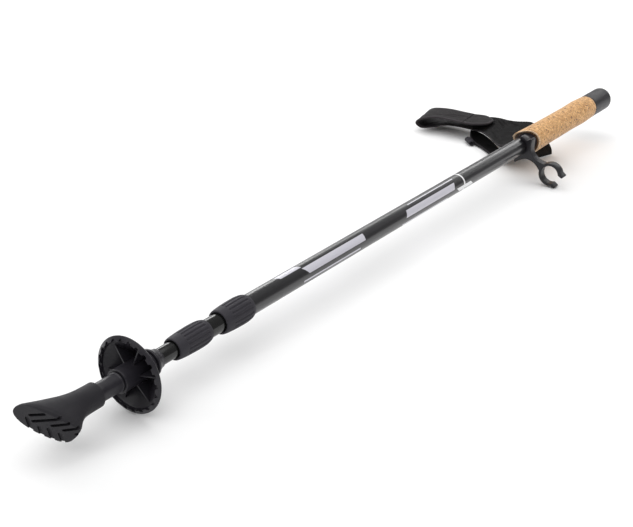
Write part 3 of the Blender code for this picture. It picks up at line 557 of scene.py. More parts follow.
def cork_finish():
    """Pressed cork: granules of many tans with torn edges and dark specks, paler where it was cut, and
    darkened with painted shade towards the bore inside the mouth.
    """
    finish = Finish("pressed cork", 0.85, Sheen_Weight=0.5, Sheen_Roughness=0.3)
    laid = finish.stretched(finish.place, (0.8, 1.0, 1.0))
    stray = finish.node("TexNoise", {"Vector": laid, "Scale": 700.0, "Detail": 3.0}).outputs["Color"]
    small = finish.node("VectorMath", {0: stray, "Scale": 0.0016}, operation="SCALE").outputs[0]
    torn = finish.node("VectorMath", {0: laid, 1: small}, operation="ADD").outputs[0]
    cells = {"Vector": torn, "Scale": GRANULES}
    shades = finish.node("TexVoronoi", cells, feature="F1").outputs["Color"]
    granule, speckle = finish.node("SeparateColor", {0: shades}).outputs[:2]
    edge = finish.node("TexVoronoi", cells, feature="DISTANCE_TO_EDGE").outputs["Distance"]
    seam = finish.ramp(edge, 0.0, 0.08)
    patches = finish.noise(finish.place, 70.0, 3.0)
    fine = finish.ramp(finish.noise(finish.place, 1500.0, 4.0, 0.7), 0.3, 0.7)

    tone = finish.mix(granule, (0.48, 0.22, 0.06, 1.0), (0.94, 0.58, 0.25, 1.0))
    tone = finish.mix(finish.ramp(patches, 0.35, 0.7, 0.0, 0.35), tone, (0.84, 0.48, 0.20, 1.0))
    dark = finish.times(finish.ramp(granule, 0.10, 0.03), finish.ramp(speckle, 0.2, 0.5))
    tone = finish.mix(dark, tone, (0.16, 0.08, 0.04, 1.0))
    tone = finish.mix(finish.times(fine, 0.22), tone, (0.42, 0.22, 0.10, 1.0))

    spot = finish.apart(finish.place)
    toward = finish.plus(finish.times(spot["Y"], math.cos(SCOOP_TURN) / MM),
                         finish.times(spot["Z"], math.sin(SCOOP_TURN) / MM))
    ahead = finish.minus(finish.times(spot["X"], 1.0 / MM), SCOOP_AT)
    from_bar = finish.reach(finish.minus(toward, SCOOP_SHIFT), ahead)
    from_bar = finish.plus(from_bar, finish.ramp(patches, 0.3, 0.7, -0.5, 0.5))
    fresh = finish.ramp(from_bar, SCOOP_R + 1.1, SCOOP_R + 0.4)
    tone = finish.mix(finish.times(fresh, 0.6, clamp=True), tone, (0.90, 0.76, 0.58, 1.0))
    # Painted shade: the cork is darkened towards the bore, where the scooped mouth lies in shadow.
    from_axis = finish.times(finish.reach(spot["Y"], spot["Z"]), 1.0 / MM)
    painted_mouth_shade = finish.ramp(finish.plus(from_axis, finish.ramp(fine, 0.0, 1.0, -0.4, 0.4)), 12.1, 11.3)
    tone = finish.mix(painted_mouth_shade, tone, (0.09, 0.045, 0.022, 1.0))

    finish.colour(finish.mix(seam, (0.36, 0.18, 0.07, 1.0), tone))
    finish.roughness(finish.ramp(fine, 0.0, 1.0, 0.78, 0.95))
    finish.bump(finish.plus(finish.times(seam, 0.6), finish.times(granule, 0.4)), 0.12)
    finish.bump(fine, 0.05)
    return finish.made


CORK_FINISH = cork_finish()
STITCH_BEAT = 2.6  # radians of the stitches' wave for each millimetre


def cloth_finish(name, dark, light, pitch, rough, depth, binding=None, bound=2.0, sheen=0.02, shine=0.16):
    """Cloth with its weave laid along the strip, from the piece's own lay attribute.

    A binding tone gives it an edge bound that many millimetres wide, with a row of stitches in it.
    """
    finish = Finish(name, rough, Sheen_Weight=sheen, Sheen_Roughness=0.5, Specular_IOR_Level=shine)
    lay = finish.apart(finish.node("Attribute", attribute_name="lay").outputs["Vector"])
    across, along, side = lay["X"], lay["Y"], lay["Z"]
    weave = finish.group(WEAVE, Across=across, Along=along, Pitch=pitch).outputs
    grain = finish.grain(0.3, 16.0)
    tone = finish.mix(grain["Tone"], dark, light)
    # Painted shade: darker in the hollows between yarns, from the weave's tone.
    tone = finish.mix(finish.ramp(weave["Tone"], 0.6, 1.0, 0.5, 0.0), tone, grey(dark[1] * 0.4))
    if binding:
        tone = finish.mix(finish.between(side, -1.0, bound, 0.15), tone, binding)
        beat = finish.math("SINE", finish.times(finish.plus(along, across), STITCH_BEAT))
        row = finish.between(side, bound - 0.9, bound - 0.5, 0.12)
        stitch = finish.times(row, finish.ramp(beat, -0.3, 0.1))
        tone = finish.mix(finish.times(stitch, 0.25), tone, ink(0.06))
        finish.bump(stitch, 0.25)
    finish.colour(finish.mix(finish.dust(0.012), tone, grey(0.3, 0.06)))
    finish.roughness(finish.ramp(grain["Height"], 0.3, 0.7, rough - 0.06, rough + 0.05))
    finish.bump(weave["Height"], depth)
    finish.bump(grain["Height"], depth * 0.6)
    return finish.made


PANEL_CLOTH = cloth_finish("thin panel cloth", ink(0.002, 0.15, 0.1), ink(0.005, 0.15, 0.1), 0.28, 0.66,
                           0.02, binding=ink(0.024, 0.1, 0.08), bound=1.6, sheen=0.0, shine=0.05)
STRAP_CLOTH = cloth_finish("laminated strap cloth", ink(0.008, 0.25, 0.12), ink(0.014, 0.25, 0.12), 0.28,
                           0.62, 0.03, binding=ink(0.028, 0.15, 0.1), bound=3.4, shine=0.10)
WEBBING = cloth_finish("black webbing", grey(0.008, 0.15), grey(0.014, 0.15), 0.7, 0.75, 0.12)
TAB_TAPE = cloth_finish("grey tab tape", ink(0.024), ink(0.038), 0.5, 0.6, 0.05)


# Tubes and turned parts
def tube(name, station, radius, finish, body, node):
    """A drawn tube with its two ends rounded over."""
    bore = radius - TUBE_WALL
    outline = [(station[0], bore), (station[0], radius), (station[1], radius), (station[1], bore)]
    line = softened(outline, 0.25, 4, closed=True)
    dress(turned(name, parted(line, 25.0)), finish, body, node)


tube("upper_tube_skin", UPPER_TUBE, UPPER_TUBE_R, GLOSS_TUBE, "upper_section", "upper_tube")
tube("middle_tube_skin", MIDDLE_TUBE, MIDDLE_TUBE_R, ANODISED, "middle_section", "middle_tube")
tube("lower_tube_skin", LOWER_TUBE, LOWER_TUBE_R, ANODISED, "lower_section", "lower_tube")

# Lock sleeves: how far they swell from the tube, by shares of their length, and their flutes
SLEEVE_SWELL = 1.9
SLEEVE_FORM = [(0, 0.1), (0.02, 0.35), (0.08, 0.55), (0.2, 0.74), (0.35, 0.88), (0.55, 0.98),
               (0.7, 1), (0.83, 0.92), (0.93, 0.68), (1, 0.3)]
SLEEVE_FIT = 0.3
MOUTH_LONG = 4.0
FLUTES = 18
FLUTE_SPAN = (0.25, 0.86)
FLUTE_DEPTH = 0.6
FLUTE_SIDES = (0.25, 1.05)


def lock_sleeve(name, station, tube_r, inner_r, body, node):
    """The twist lock's grip: swelled, with round-ended flutes and a plain band at its mouth."""
    start, end = station
    length = end - start
    base, lip = tube_r + SLEEVE_FIT, inner_r + 0.6
    form = [(start + share * length, base + SLEEVE_SWELL * swell) for share, swell in SLEEVE_FORM]
    outer = curve_through(form, 84)
    mouth = [(end, base), (start + MOUTH_LONG, base), (start + MOUTH_LONG, lip), (start, lip)]
    line = np.vstack([outer[:-1], softened([outer[-1], *mouth, outer[0]], 0.3, 4)[:-1]])

    def flutes(along, radius, turns):
        low, high = (start + share * length for share in FLUTE_SPAN)
        spacing = TAU / FLUTES
        aside = (np.mod(turns + spacing / 2, spacing) - spacing / 2) * radius
        past = np.maximum(np.maximum(low - along, along - high), 0.0)
        depth = FLUTE_DEPTH * (1.0 - smoothstep(*FLUTE_SIDES, np.hypot(aside, past)))
        return np.where(radius > base + 0.25, -depth, 0.0)

    dress(turned(name, line, flutes, 24 * FLUTES), SLEEVE_RUBBER, body, node)


lock_sleeve("upper_lock_grip", UPPER_SLEEVE, UPPER_TUBE_R, MIDDLE_TUBE_R, "upper_section",
            "upper_lock_sleeve")
lock_sleeve("lower_lock_grip", LOWER_SLEEVE, MIDDLE_TUBE_R, LOWER_TUBE_R, "middle_section",
            "lower_lock_sleeve")


def ferrule():
    """End fitting: spigot, bell collar with a stepped face, and the shank the basket turns on."""
    rim_r = LOWER_TUBE_R + 0.9
    bell = [(COLLAR_TOP, LOWER_TUBE_R + 0.3, 0.1), (COLLAR_TOP, rim_r, 0.3)]
    for share in np.linspace(0.12, 1.0, 8):
        bell.append((COLLAR_TOP - 6.9 * share, rim_r + (COLLAR_R - rim_r) * share ** 1.7, 0.5))
    spigot = [(150.2, 0), (150.2, 4.4), (149.4, 5), (108.9, 5), (108.9, LOWER_TUBE_R + 0.3)]
    shank = [(COLLAR_FACE, COLLAR_R, 0.4), (COLLAR_FACE, SHANK_R, 0.2), (76.2, SHANK_R),
             (75.7, SHANK_R + 0.5, 0.4), (74.9, SHANK_R), (PAW_TOP + 3, SHANK_R), (35, 5),
             (35, 2.6), (43.3, 2.6), (43.3, 0)]
    line = parted(softened(spigot + bell + shank, 0.25, 4), 6.0)
    dress(turned("bell_ferrule", line), PLASTIC, "lower_section", "ferrule")


ferrule()


NOTCHES = 22
NOTCH_R = 1.7
NOTCH_LONG = 3.6
RIBS = 6
RIB_TURN = math.radians(-9.0)
RIB_HALF = 0.45


def basket():
    """The cup: hub, cone, leaning rim with a scalloped inner edge, and ribs."""
    rim, shoulder, rim_in = BASKET_RIM, HUB_BACK - 2.7, BASKET_R - 3.4
    outline = [(HUB_BACK, HUB_R, 0.5), (shoulder, HUB_R, 0.8), (rim + 4.6, BASKET_R - 3.2, 3),
               (rim + 3.3, BASKET_R - 0.9, 1), (rim + 2.2, BASKET_R, 0.5), (rim - 0.3, rim_in, 0.3),
               (rim + 3.2, rim_in - 0.3, 0.6), (shoulder - 2, HUB_R, 1), (HUB_FRONT, HUB_R, 0.45),
               (HUB_FRONT, SHANK_R + 0.3, 0.45), (HUB_BACK, SHANK_R + 0.3, 0.3)]
    cup = turned("basket_cup", parted(softened(outline, 0.4, 5, closed=True), 3.0), around=288)

    notches = bmesh.new()
    outward = Matrix.Translation((rim * MM, rim_in * MM, 0.0))
    upright = Matrix.Rotation(math.pi / 2, 4, "Y")
    for k in range(NOTCHES):
        place = Matrix.Rotation(TAU * k / NOTCHES, 4, "X") @ outward @ upright
        bmesh.ops.create_cone(notches, cap_ends=True, segments=20, radius1=NOTCH_R * MM,
                              radius2=NOTCH_R * MM, depth=NOTCH_LONG * MM, matrix=place)
    cut(cup, formed("rim_notches", notches))

    ribs = bmesh.new()
    side = [(shoulder - 1.0, HUB_R - 0.8), (rim + 3.4, HUB_R - 0.8), (rim + 4.6, rim_in - 2.8),
            (rim + 5.6, rim_in - 2.8)]
    for k in range(RIBS):
        turn = Matrix.Rotation(TAU * (k + 0.5) / RIBS - math.pi / 2 + RIB_TURN, 3, "X")
        prism(ribs, *[[ribs.verts.new(turn @ Vector((a, r, w)) * MM) for a, r in side]
                      for w in (-RIB_HALF, RIB_HALF)])
    bmesh.ops.recalc_face_normals(ribs, faces=ribs.faces)
    cut(cup, formed("basket_ribs", ribs), "UNION")
    dress(smoothed(cup, 40.0), PLASTIC, "basket", "basket")


basket()


# Paw: rings of the straight boot, each as its toe and heel (along, out) and half its width
PAW_RINGS = [((57, 8.5), (57, 8.5), 8.5), ((49, 8.6), (49.5, 8.5), 8.6),
             ((41, 9.1), (45.5, 8.6), 8.8), ((33, 10.4), (42.5, 8.9), 9.3),
             ((25, 12.4), (39.5, 9.4), 10), ((17.5, 14.4), (36.5, 10.5), 10.9),
             ((11, 16.3), (33.5, 12.1), 11.8), ((6.6, 17.6), (30.3, 14.6), 12.5),
             ((5, 17.7), (27.6, 16.2), 12.4), ((3.8, 16.8), (25.6, 16), 11.4)]
PAW_TURN = math.radians(44.0)
PAW_SIDES = 320
LAST_RING = len(PAW_RINGS) - 1
PER_RING = 12
LOFT_ROWS = PER_RING * LAST_RING
SQUARE_RING = 6
STRAIGHT_RING = 7
SOLE_ROWS = 84
SOLE_SAG = 1.3
SOLE_SKIN = 2.2
SOCKET = [(PAW_TOP, 6.8, 0.4), (35, 5.5), (31, 6), (26, 6), (26, 0)]

# Slots in the sole: where each starts and ends across it. The near ones run out over the edge. A row
# begins LEAD behind the toe, the next slot lies STEP further, and each runs LEAN back for every
# millimetre across.
SLOT_HALF = 1.25
FAR_SLOTS = [(1.6, 9), (-2.6, 11.4), (2.2, 10.6), (2.7, 10), (3.6, 8.6)]
FAR_LEAD, FAR_STEP, FAR_LEAN, FAR_DEPTH = 9.6, 7.0, 0.75, 2.2
NEAR_SLOTS = [2.6, 5.4, 2.6, 2.6]
NEAR_LEAD, NEAR_STEP, NEAR_LEAN, NEAR_DEPTH = 8.4, 7.3, 0.81, 1.1
NEAR_EDGE = 15.0


def sole_frame():
    """The middle of the sole, its directions to the toe and into the boot, and half its length."""
    (toe_a, toe_r), (heel_a, heel_r), _ = PAW_RINGS[-1]
    toe, heel = np.array([toe_a, toe_r, 0.0]), np.array([heel_a, -heel_r, 0.0])
    long = np.linalg.norm(toe - heel)
    forth = (toe - heel) / long
    return (toe + heel) / 2, forth, np.array([forth[1], -forth[0], 0.0]), long / 2


def slanted(points):
    """Points of the straight boot, turned about the pole to the slant of the paw."""
    c, s = math.cos(PAW_TURN), math.sin(PAW_TURN)
    along, out, width = points[..., 0], points[..., 1], points[..., 2]
    return np.stack([along, out * c - width * s, out * s + width * c], -1)


def boot_form():
    """Rings of points from the collar down the flanks, and over the sole to its middle."""
    forms = np.array([[*toe, *heel, half] for toe, heel, half in PAW_RINGS])
    loft = curve_through(forms, LOFT_ROWS)
    edge = np.arange(PER_RING * STRAIGHT_RING, LOFT_ROWS + 1)
    for column in range(5):
        loft[edge, column] = np.interp(edge / PER_RING, np.arange(LAST_RING + 1), forms[:, column])
    c, s = np.cos(turns_of(PAW_SIDES)), np.sin(turns_of(PAW_SIDES))
    rows = []
    for k, (toe_a, toe_r, heel_a, heel_r, half) in enumerate(loft):
        share = min(k / LOFT_ROWS * LAST_RING / SQUARE_RING, 1.0)
        # Round at the collar, squarer further down, and squarest at the heel
        boxy = 2.0 + 0.5 * share + 1.5 * share * np.maximum(-c, 0.0)
        reach = np.sign(c) * np.abs(c) ** (2 / boxy)
        width = np.sign(s) * np.abs(s) ** (2 / boxy) * half * (1.0 - 0.12 * np.maximum(reach, 0.0) * share)
        along = (toe_a + heel_a) / 2 + (toe_a - heel_a) / 2 * reach
        out = (toe_r - heel_r) / 2 + (toe_r + heel_r) / 2 * reach
        rows.append(np.stack([along, out, width], -1))
    sole = rows[-1]
    centre = sole.mean(0)
    rows += [centre + (sole - centre) * share for share in np.linspace(0.985, 0.0, SOLE_ROWS)]
    return np.array(rows)


def sole_slots(long):
    """The start, end and depth of each slot, as (along, across) from the middle of the sole."""
    slots = []
    for k, (begins, ends) in enumerate(FAR_SLOTS):
        head = long - FAR_LEAD - FAR_STEP * k
        start, end = (head - FAR_LEAN * (across - SLOT_HALF) for across in (begins, ends))
        slots.append(((start, begins), (end, ends), FAR_DEPTH))
    for k, begins in enumerate(NEAR_SLOTS):
        head = long - NEAR_LEAD - NEAR_STEP * k
        start, end = (head - NEAR_LEAN * (across - SLOT_HALF) for across in (begins, NEAR_EDGE))
        slots.append(((start, -begins), (end, -NEAR_EDGE), NEAR_DEPTH))
    return slots


def slot_outline(start, end):
    """The outline of a round-ended slot."""
    start, end = np.array(start), np.array(end)
    run = (end - start) / math.hypot(*(end - start))
    aside = np.array([-run[1], run[0]])
    outline = []
    for middle, first in ((start, 90.0), (end, -90.0)):
        for bend in np.radians(first + 22.5 * np.arange(9)):
            outline.append(middle + SLOT_HALF * (run * math.cos(bend) + aside * math.sin(bend)))
    return outline


def paw():
    """The rubber boot: round collar, hollow flanks, long slanted sole with slots, and the tip's socket."""
    middle, forth, inward, long = sole_frame()
    form = boot_form()
    along, high = (form - middle) @ forth, (form - middle) @ inward
    sag = SOLE_SAG * (along / long) ** 2
    raised = np.maximum(high, np.where(high < SOLE_SKIN, sag, -np.inf))
    form = form + (raised - high)[..., None] * inward

    socket = softened(SOCKET, 0.3, 4)
    bore = rings(socket[:, :1], socket[:, 1:2], turns_of(PAW_SIDES) + PAW_TURN)
    boot = skin("rubber_paw", np.vstack([bore[::-1], slanted(form)]), crease=50.0)

    tool = bmesh.new()
    for start, end, depth in sole_slots(long):
        ends = []
        for down in (-3.0, depth):
            ring = []
            for s, across in slot_outline(start, end):
                rise = SOLE_SAG * (s / long) ** 2 if down > 0 else 0.0
                spot = middle + forth * s + inward * (down + rise) + (0.0, 0.0, across)
                ring.append(tool.verts.new(Vector(slanted(spot)) * MM))
            ends.append(ring)
        prism(tool, *ends)
    bmesh.ops.recalc_face_normals(tool, faces=tool.faces)
    cut(boot, formed("sole_slots", tool))
    dress(smoothed(boot, 40.0), PAW_RUBBER, "paw", "paw")


paw()


# Clip: inner and outer radius of the clasp round the pole and of the jaw for the other pole, how far
# out the jaw lies, the turn that the stem points to, and the stem's outline
CLASP = (8.3, 11.1)
JAW = (8.9, 11.4)
JAW_AT = 41.0
CLIP_TURN = math.radians(-147.2)
STEM = [(5, CLASP[1] + 4.2, 0.9), (6.6, CLASP[1] + 3.9, 1.2), (9.2, CLASP[1] - 1.3, 3),
        (11.8, CLASP[1] - 5.2, 3), (14.6, 3.6, 3), (18.2, 2.35, 3), (22.55, 1.95, 3),
        (26.6, 2.85, 2)]


def arc(centre, radius, start, end, steps):
    """Points on an arc about a point of the stem's line, between two turns in degrees."""
    turns = np.radians(np.linspace(start, end, steps + 1))
    return [(centre + radius * math.cos(a), radius * math.sin(a)) for a in turns]


def pole_clip():
    """Snap clip: C collar, waisted stem with two pointed wings, and the open jaw for the other pole."""
    jaw_in, jaw_out = JAW
    lip = [arc(JAW_AT, radius, turn, turn, 0)[0]
           for radius, turn in ((14.5, 34.0), (jaw_out + 1.8, 26.0), (jaw_in + 0.3, 37.0))]
    half = arc(0.0, CLASP[1], 115.0, 76.0, 10) + STEM + arc(JAW_AT, jaw_out, 158.0, 48.0, 20) + lip
    half += arc(JAW_AT, jaw_in, 43.0, 171.0, 24)
    mirrored = [(x, -y) for x, y, *_ in reversed(half)]
    inside = arc(0.0, CLASP[0], -115.0, 115.0, 48)
    outline = softened(half + [(JAW_AT - jaw_in, 0.0)] + mirrored + inside, 1.0, 4, closed=True)
    made = bmesh.new()
    turn = Matrix.Rotation(CLIP_TURN, 3, "X")
    face = made.faces.new([made.verts.new(turn @ Vector((CLIP[0], x, y)) * MM) for x, y in outline])
    grown = bmesh.ops.extrude_face_region(made, geom=[face])
    moved = [g for g in grown["geom"] if isinstance(g, bmesh.types.BMVert)]
    bmesh.ops.translate(made, verts=moved, vec=((CLIP[1] - CLIP[0]) * MM, 0.0, 0.0))
    bmesh.ops.remove_doubles(made, verts=made.verts, dist=10 * WELD)
    bmesh.ops.recalc_face_normals(made, faces=made.faces)
    clip = formed("second_pole_clip", made)
    edge = clip.modifiers.new("edge", "BEVEL")
    edge.width = 1.0 * MM
    edge.segments = 4
    edge.limit_method = "ANGLE"
    edge.angle_limit = math.radians(50.0)
    dress(smoothed(applied(clip), 35.0), CLIP_PLASTIC, "clip", "pole_clip")


pole_clip()


# Grip
def grip_core():
    """The sleeve between the tube and the cork, which shows in the cork's mouth."""
    outline = [(CORK[0], 8.3, 0.2), (CORK[0], 8.8, 0.2), (CORK[0] + 0.8, 9.3, 0.4), (CORK[1], 9.3),
               (CORK[1], 8.3)]
    line = parted(softened(outline, 0.2, 4, closed=True), 20.0)
    dress(turned("grip_core_sleeve", line), PLASTIC, "upper_section", "grip_core")


grip_core()

# How far the cork swells, where 1 is its lip's radius, by shares of its length
CORK_FORM = [(0, 0.9), (0.02, 1), (0.06, 0.9), (0.14, 0.5), (0.28, 0.2), (0.5, 0.05), (0.7, 0),
             (0.77, 0.35), (0.83, 0.7), (0.88, 0.6), (0.94, 0.05), (0.98, -0.2), (1, -0.5)]
CORK_BORE = 9.6
CORK_SIDES = 256


def cork_grip():
    """The cork handle. Its lower end is scooped away over the clip, with a ragged cut edge."""
    start, end = CORK
    turns = turns_of(CORK_SIDES)
    shares, swells = np.array(CORK_FORM).T

    def surface(along):
        return CORK_R + (CORK_LIP_R - CORK_R) * np.interp((along - start) / (end - start), shares, swells)

    def scooped(radius):
        """Where the scoop ends at this radius, for every turn."""
        toward = radius * np.cos(turns - SCOOP_TURN) - SCOOP_SHIFT
        inside = np.clip(SCOOP_R ** 2 - toward ** 2, 0.0, None)
        return np.maximum(start, SCOOP_AT + np.sqrt(inside))

    ragged = 0.4 * np.sin(turns * 23.0 + 1.3) * np.sin(turns * 11.0) + 0.25 * np.sin(turns * 47.0 + 0.4)
    ragged = ragged + 0.2 * np.sin(turns * 83.0 + 2.1)
    lip = scooped(CORK_LIP_R)
    lip = lip + ragged * (lip > start + 0.5)
    mouth = scooped(CORK_BORE)
    rows = [(mouth + (end - mouth) * t, CORK_BORE) for t in np.linspace(1.0, 0.0, 12)]
    rows += [(mouth + (lip - mouth) * t, CORK_BORE + (surface(lip) - CORK_BORE) * t)
             for t in np.linspace(0.12, 0.88, 7)]
    rows += [(lip + 0.15, surface(lip) - 0.35), (lip + 0.5, surface(lip + 0.5) - 0.08)]
    for t in np.linspace(0.0, 1.0, 90)[1:] ** 1.3:
        at = lip + 0.5 + (end - 0.5 - lip - 0.5) * t
        rows.append((at, surface(at)))
    rows += [(end - 0.12, surface(end) - 0.1), (end, surface(end) - 0.5)]
    grid = np.array([rings(along, radius, turns) for along, radius in rows])
    cork = skin("cork_handle", grid, end_to_end=True, crease=60.0)
    dress(cork, CORK_FINISH, "upper_section", "cork_grip")


cork_grip()


def grip_cap():
    """The rounded rubber cap, with the plug that holds it in the grip's end."""
    outline = [(CAP[0] - 22, 0), (CAP[0] - 22, 7, 0.5), (CAP[0], 7, 0.1),
               (CAP[0], CAP_R - 0.4, 0.2), (CAP[0] + 0.6, CAP_R, 0.5), (CAP[1], CAP_R, 2.6), (CAP[1], 0)]
    line = parted(softened(outline, 0.3, 10), 3.0)
    dress(turned("grip_end_cap", line), CAP_RUBBER, "upper_section", "grip_cap")


grip_cap()


# Hand strap: the anchor's height that it was drawn for, the share by which its cloth is thinner
# inside the hem, and the height of the slow waves in it
DRAWN_HEIGHT = 36.5
STRAP_LIFT = ANCHOR.z / MM / DRAWN_HEIGHT
HEM_THIN = 0.16
WAVES = 0.16


def fold(lay, width, length, begin, end, height, half):
    """A ridge, or a dent if the height is negative, along a line given in shares of width and length."""
    a = np.array((begin[0] * width, begin[1] * length))
    b = np.array((end[0] * width, end[1] * length))
    to = lay[..., :2] - a
    run = np.clip((to @ (b - a)) / ((b - a) @ (b - a)), 0.0, 1.0)
    away = np.linalg.norm(to - run[..., None] * (b - a), axis=-1)
    return height * np.exp(-(away / half) ** 2) * (0.35 + 0.65 * np.sin(math.pi * run))


def strip(name, near, far, thickness, finish, node, rows, columns, folds=(),
          body="hand_strap", hem=2.2, round_end=0.0):
    """A cloth strip between two edges, with soft sides, a bound hem and its lay kept for the weave."""
    a, b = (curve_through(edge, rows) * (1.0, 1.0, STRAP_LIFT) for edge in (near, far))
    width = np.linalg.norm(b - a, axis=1).mean()
    run = np.concatenate([[0.0], np.cumsum(np.linalg.norm(np.diff((a + b) / 2, axis=0), axis=1))])
    length = run[-1]
    across = np.repeat(np.linspace(0.0, 1.0, columns + 1)[None, :], rows + 1, 0)
    side = np.minimum(across, 1.0 - across) * width
    if round_end:
        past = np.clip(run - (length - round_end), 0.0, round_end)
        inset = ((round_end - np.sqrt(round_end ** 2 - past ** 2)) / width)[:, None]
        across = inset + across * (1.0 - 2.0 * inset)
        side = np.minimum(side, (length - run)[:, None])
    face = a[:, None] * (1 - across[..., None]) + b[:, None] * across[..., None]
    normal = np.cross(np.gradient(face, axis=0), np.gradient(face, axis=1))
    normal /= np.maximum(np.linalg.norm(normal, axis=-1, keepdims=True), 1e-9)
    x, y = across * width, np.repeat(run[:, None], columns + 1, 1)
    lay = np.stack([x, y, side], -1)

    sides = 1.0 - np.minimum(side / (thickness * 0.6), 1.0)
    half = thickness / 2 * np.sqrt(np.clip(1.0 - sides ** 2, 0.08, 1.0))
    if hem:
        half = half * (1.0 - HEM_THIN + HEM_THIN * (1.0 - smoothstep(hem, hem + 0.5, side)))
    inside = smoothstep(1.0, 6.0, side) * smoothstep(0.0, 5.0, y) * smoothstep(0.0, 5.0, length - y)
    swell = np.sin(0.31 * y + 1.7 * np.sin(0.13 * x + 0.4)) * np.sin(0.19 * x + 0.9)
    rise = WAVES * (swell + 0.5 * np.sin(0.53 * x - 0.27 * y))
    for line in folds:
        rise = rise + fold(lay, width, length, *line)
    face = face + normal * (rise * inside)[..., None]
    top, under = face + normal * half[..., None], face - normal * half[..., None]

    made = bmesh.new()
    keep = made.verts.layers.float_vector.new("lay")
    verts = []
    for over, below, lays in zip(top, under, lay):
        verts.append([made.verts.new(p * MM) for p in (*over, *below[::-1])])
        for vert, value in zip(verts[-1], (*lays, *lays[::-1])):
            vert[keep] = value
    for one, two in zip(verts, verts[1:]):
        belt(made, one, two)
    for row in (verts[0], verts[-1]):
        for j in range(columns):
            made.faces.new((row[j], row[j + 1], row[-2 - j], row[-1 - j]))
    bmesh.ops.recalc_face_normals(made, faces=made.faces)
    cloth = formed(name, made, GROUND)
    cloth.data.shade_smooth()
    dress(cloth, finish, body, node)


# The two edges of each piece of the strap, from its start to its end
PALM_FAR = [(67.9, 104.5, 16.8), (71, 92.7, 18.9), (64.6, 78.9, 21.6), (51.8, 63.6, 25.2), (41.6, 47.8, 29),
            (33, 30, 33.8), (28, 22, 34.3), (22, 15.4, 32.5)]
PALM_NEAR = [(43.5, 101.5, 9.8), (36, 90, 12), (19, 75, 16), (1, 60, 19.3), (-18, 45, 21.5), (-33, 31, 24),
             (-35, 22, 27.5), (-30, 15.4, 30.5)]
WRIST_NEAR = [(29, 108, 20.2), (31, 120, 20), (33, 137, 19.5), (31, 148, 18.6), (25, 158, 16.3),
              (24, 162.5, 11.5), (30, 159, 6), (38, 151.5, 5.6), (45, 140, 8.4), (48, 127, 9),
              (47, 114, 9.2), (43.8, 102, 9.8)]
WRIST_FAR = [(66.5, 112.1, 20.3), (67, 125, 20.4), (69, 140, 20.2), (69, 153, 19.6), (68, 165, 17.8),
             (70, 172.5, 12), (72, 168, 6), (73, 156, 5.4), (75, 143, 7.2), (75, 129, 9.6),
             (72.5, 116, 13.6), (68.6, 105, 16.7)]
FLAP_NEAR = [(28.8, 107.1, 20.2), (29.5, 95, 20.6), (34.7, 79.4, 22.2)]
FLAP_FAR = [(66.4, 111.2, 20.3), (66.1, 96.6, 20.9), (50.1, 79, 22.6)]
THUMB_OUTER = [(50.3, 108, 6.2), (34.5, 99.6, 4), (23.3, 89.6, 2.6), (13.6, 75.6, 2.2), (-2.6, 56.7, 3),
               (-22, 38, 8), (-28, 25, 15), (-27, 18.5, 24)]
THUMB_INNER = [(50, 97.1, 6.2), (48.7, 89.1, 4.2), (40.8, 77.3, 3), (28.1, 64.9, 3), (15.1, 53.7, 4),
               (-4, 33, 8), (-10, 22, 15), (-9, 18, 24)]
TAB_NEAR = [(19, 86, 2.2), (16.6, 88.7, 1.6), (15.1, 90.3, 3.7), (16.6, 88.7, 5.8), (18.4, 86.7, 5.6)]
TAB_FAR = [(30.6, 97.8, 2.2), (28.2, 100.5, 1.6), (26.7, 102.1, 3.7), (28.2, 100.5, 5.8), (30, 98.5, 5.6)]
TAIL_NEAR = [(8, 14.8, 29.5), (8, 17.8, 22), (9, 17.2, 14), (12, 14.8, 8), (17, 12.8, 4.5), (22, 11.7, 1.8)]
TAIL_FAR = [(42, 14.8, 29.5), (43, 17, 22), (43, 14, 15), (41.5, 9.5, 11), (40.5, 6.5, 6.5),
            (39.2, 5.2, 1.8)]

# Folds: where they begin and end in shares of width and length, their height and half width
PALM_FOLDS = [((0.94, 0.30), (0.74, 0.58), 2.3, 1.2), ((0.84, 0.26), (0.62, 0.56), -2, 1.5),
              ((0.66, 0.22), (0.42, 0.60), 1, 1.6), ((0.30, 0.34), (0.14, 0.80), -0.9, 2),
              ((0.95, 0.46), (0.74, 0.90), 2, 1.3), ((0.44, 0.62), (0.56, 0.96), 0.9, 1.8)]
WRIST_FOLDS = [((0.62, 0.02), (0.42, 0.24), -0.8, 1.6), ((0.36, 0.04), (0.24, 0.30), 0.7, 1.5),
               ((0.3, 0.55), (0.7, 0.62), 0.5, 2), ((0.2, 0.72), (0.6, 0.9), -0.5, 2.4)]
THUMB_FOLDS = [((0.2, 0.3), (0.8, 0.38), 0.4, 1.6), ((0.3, 0.62), (0.8, 0.55), -0.4, 2)]
TAIL_FOLDS = [((0.1, 0.5), (0.9, 0.42), 0.35, 1.6)]

strip("strap_palm_panel", PALM_NEAR, PALM_FAR, 2.4, PANEL_CLOTH,
      "palm_panel", 110, 64, PALM_FOLDS)
strip("strap_wrist_band", WRIST_NEAR, WRIST_FAR, 2.2, STRAP_CLOTH,
      "wrist_band", 150, 40, WRIST_FOLDS)
strip("strap_closure_flap", FLAP_NEAR, FLAP_FAR, 2.2, STRAP_CLOTH,
      "closure_flap", 40, 40, body="closure", round_end=7.0)
strip("strap_thumb_band", THUMB_OUTER, THUMB_INNER, 2.2, PANEL_CLOTH,
      "thumb_band", 110, 30, THUMB_FOLDS)
strip("strap_size_tab", TAB_NEAR, TAB_FAR, 1.2, TAB_TAPE,
      "size_tab", 24, 16, hem=0.0)
strip("strap_loose_tail", TAIL_NEAR, TAIL_FAR, 2.0, WEBBING,
      "strap_tail", 64, 36, TAIL_FOLDS, body="upper_section", hem=0.0)


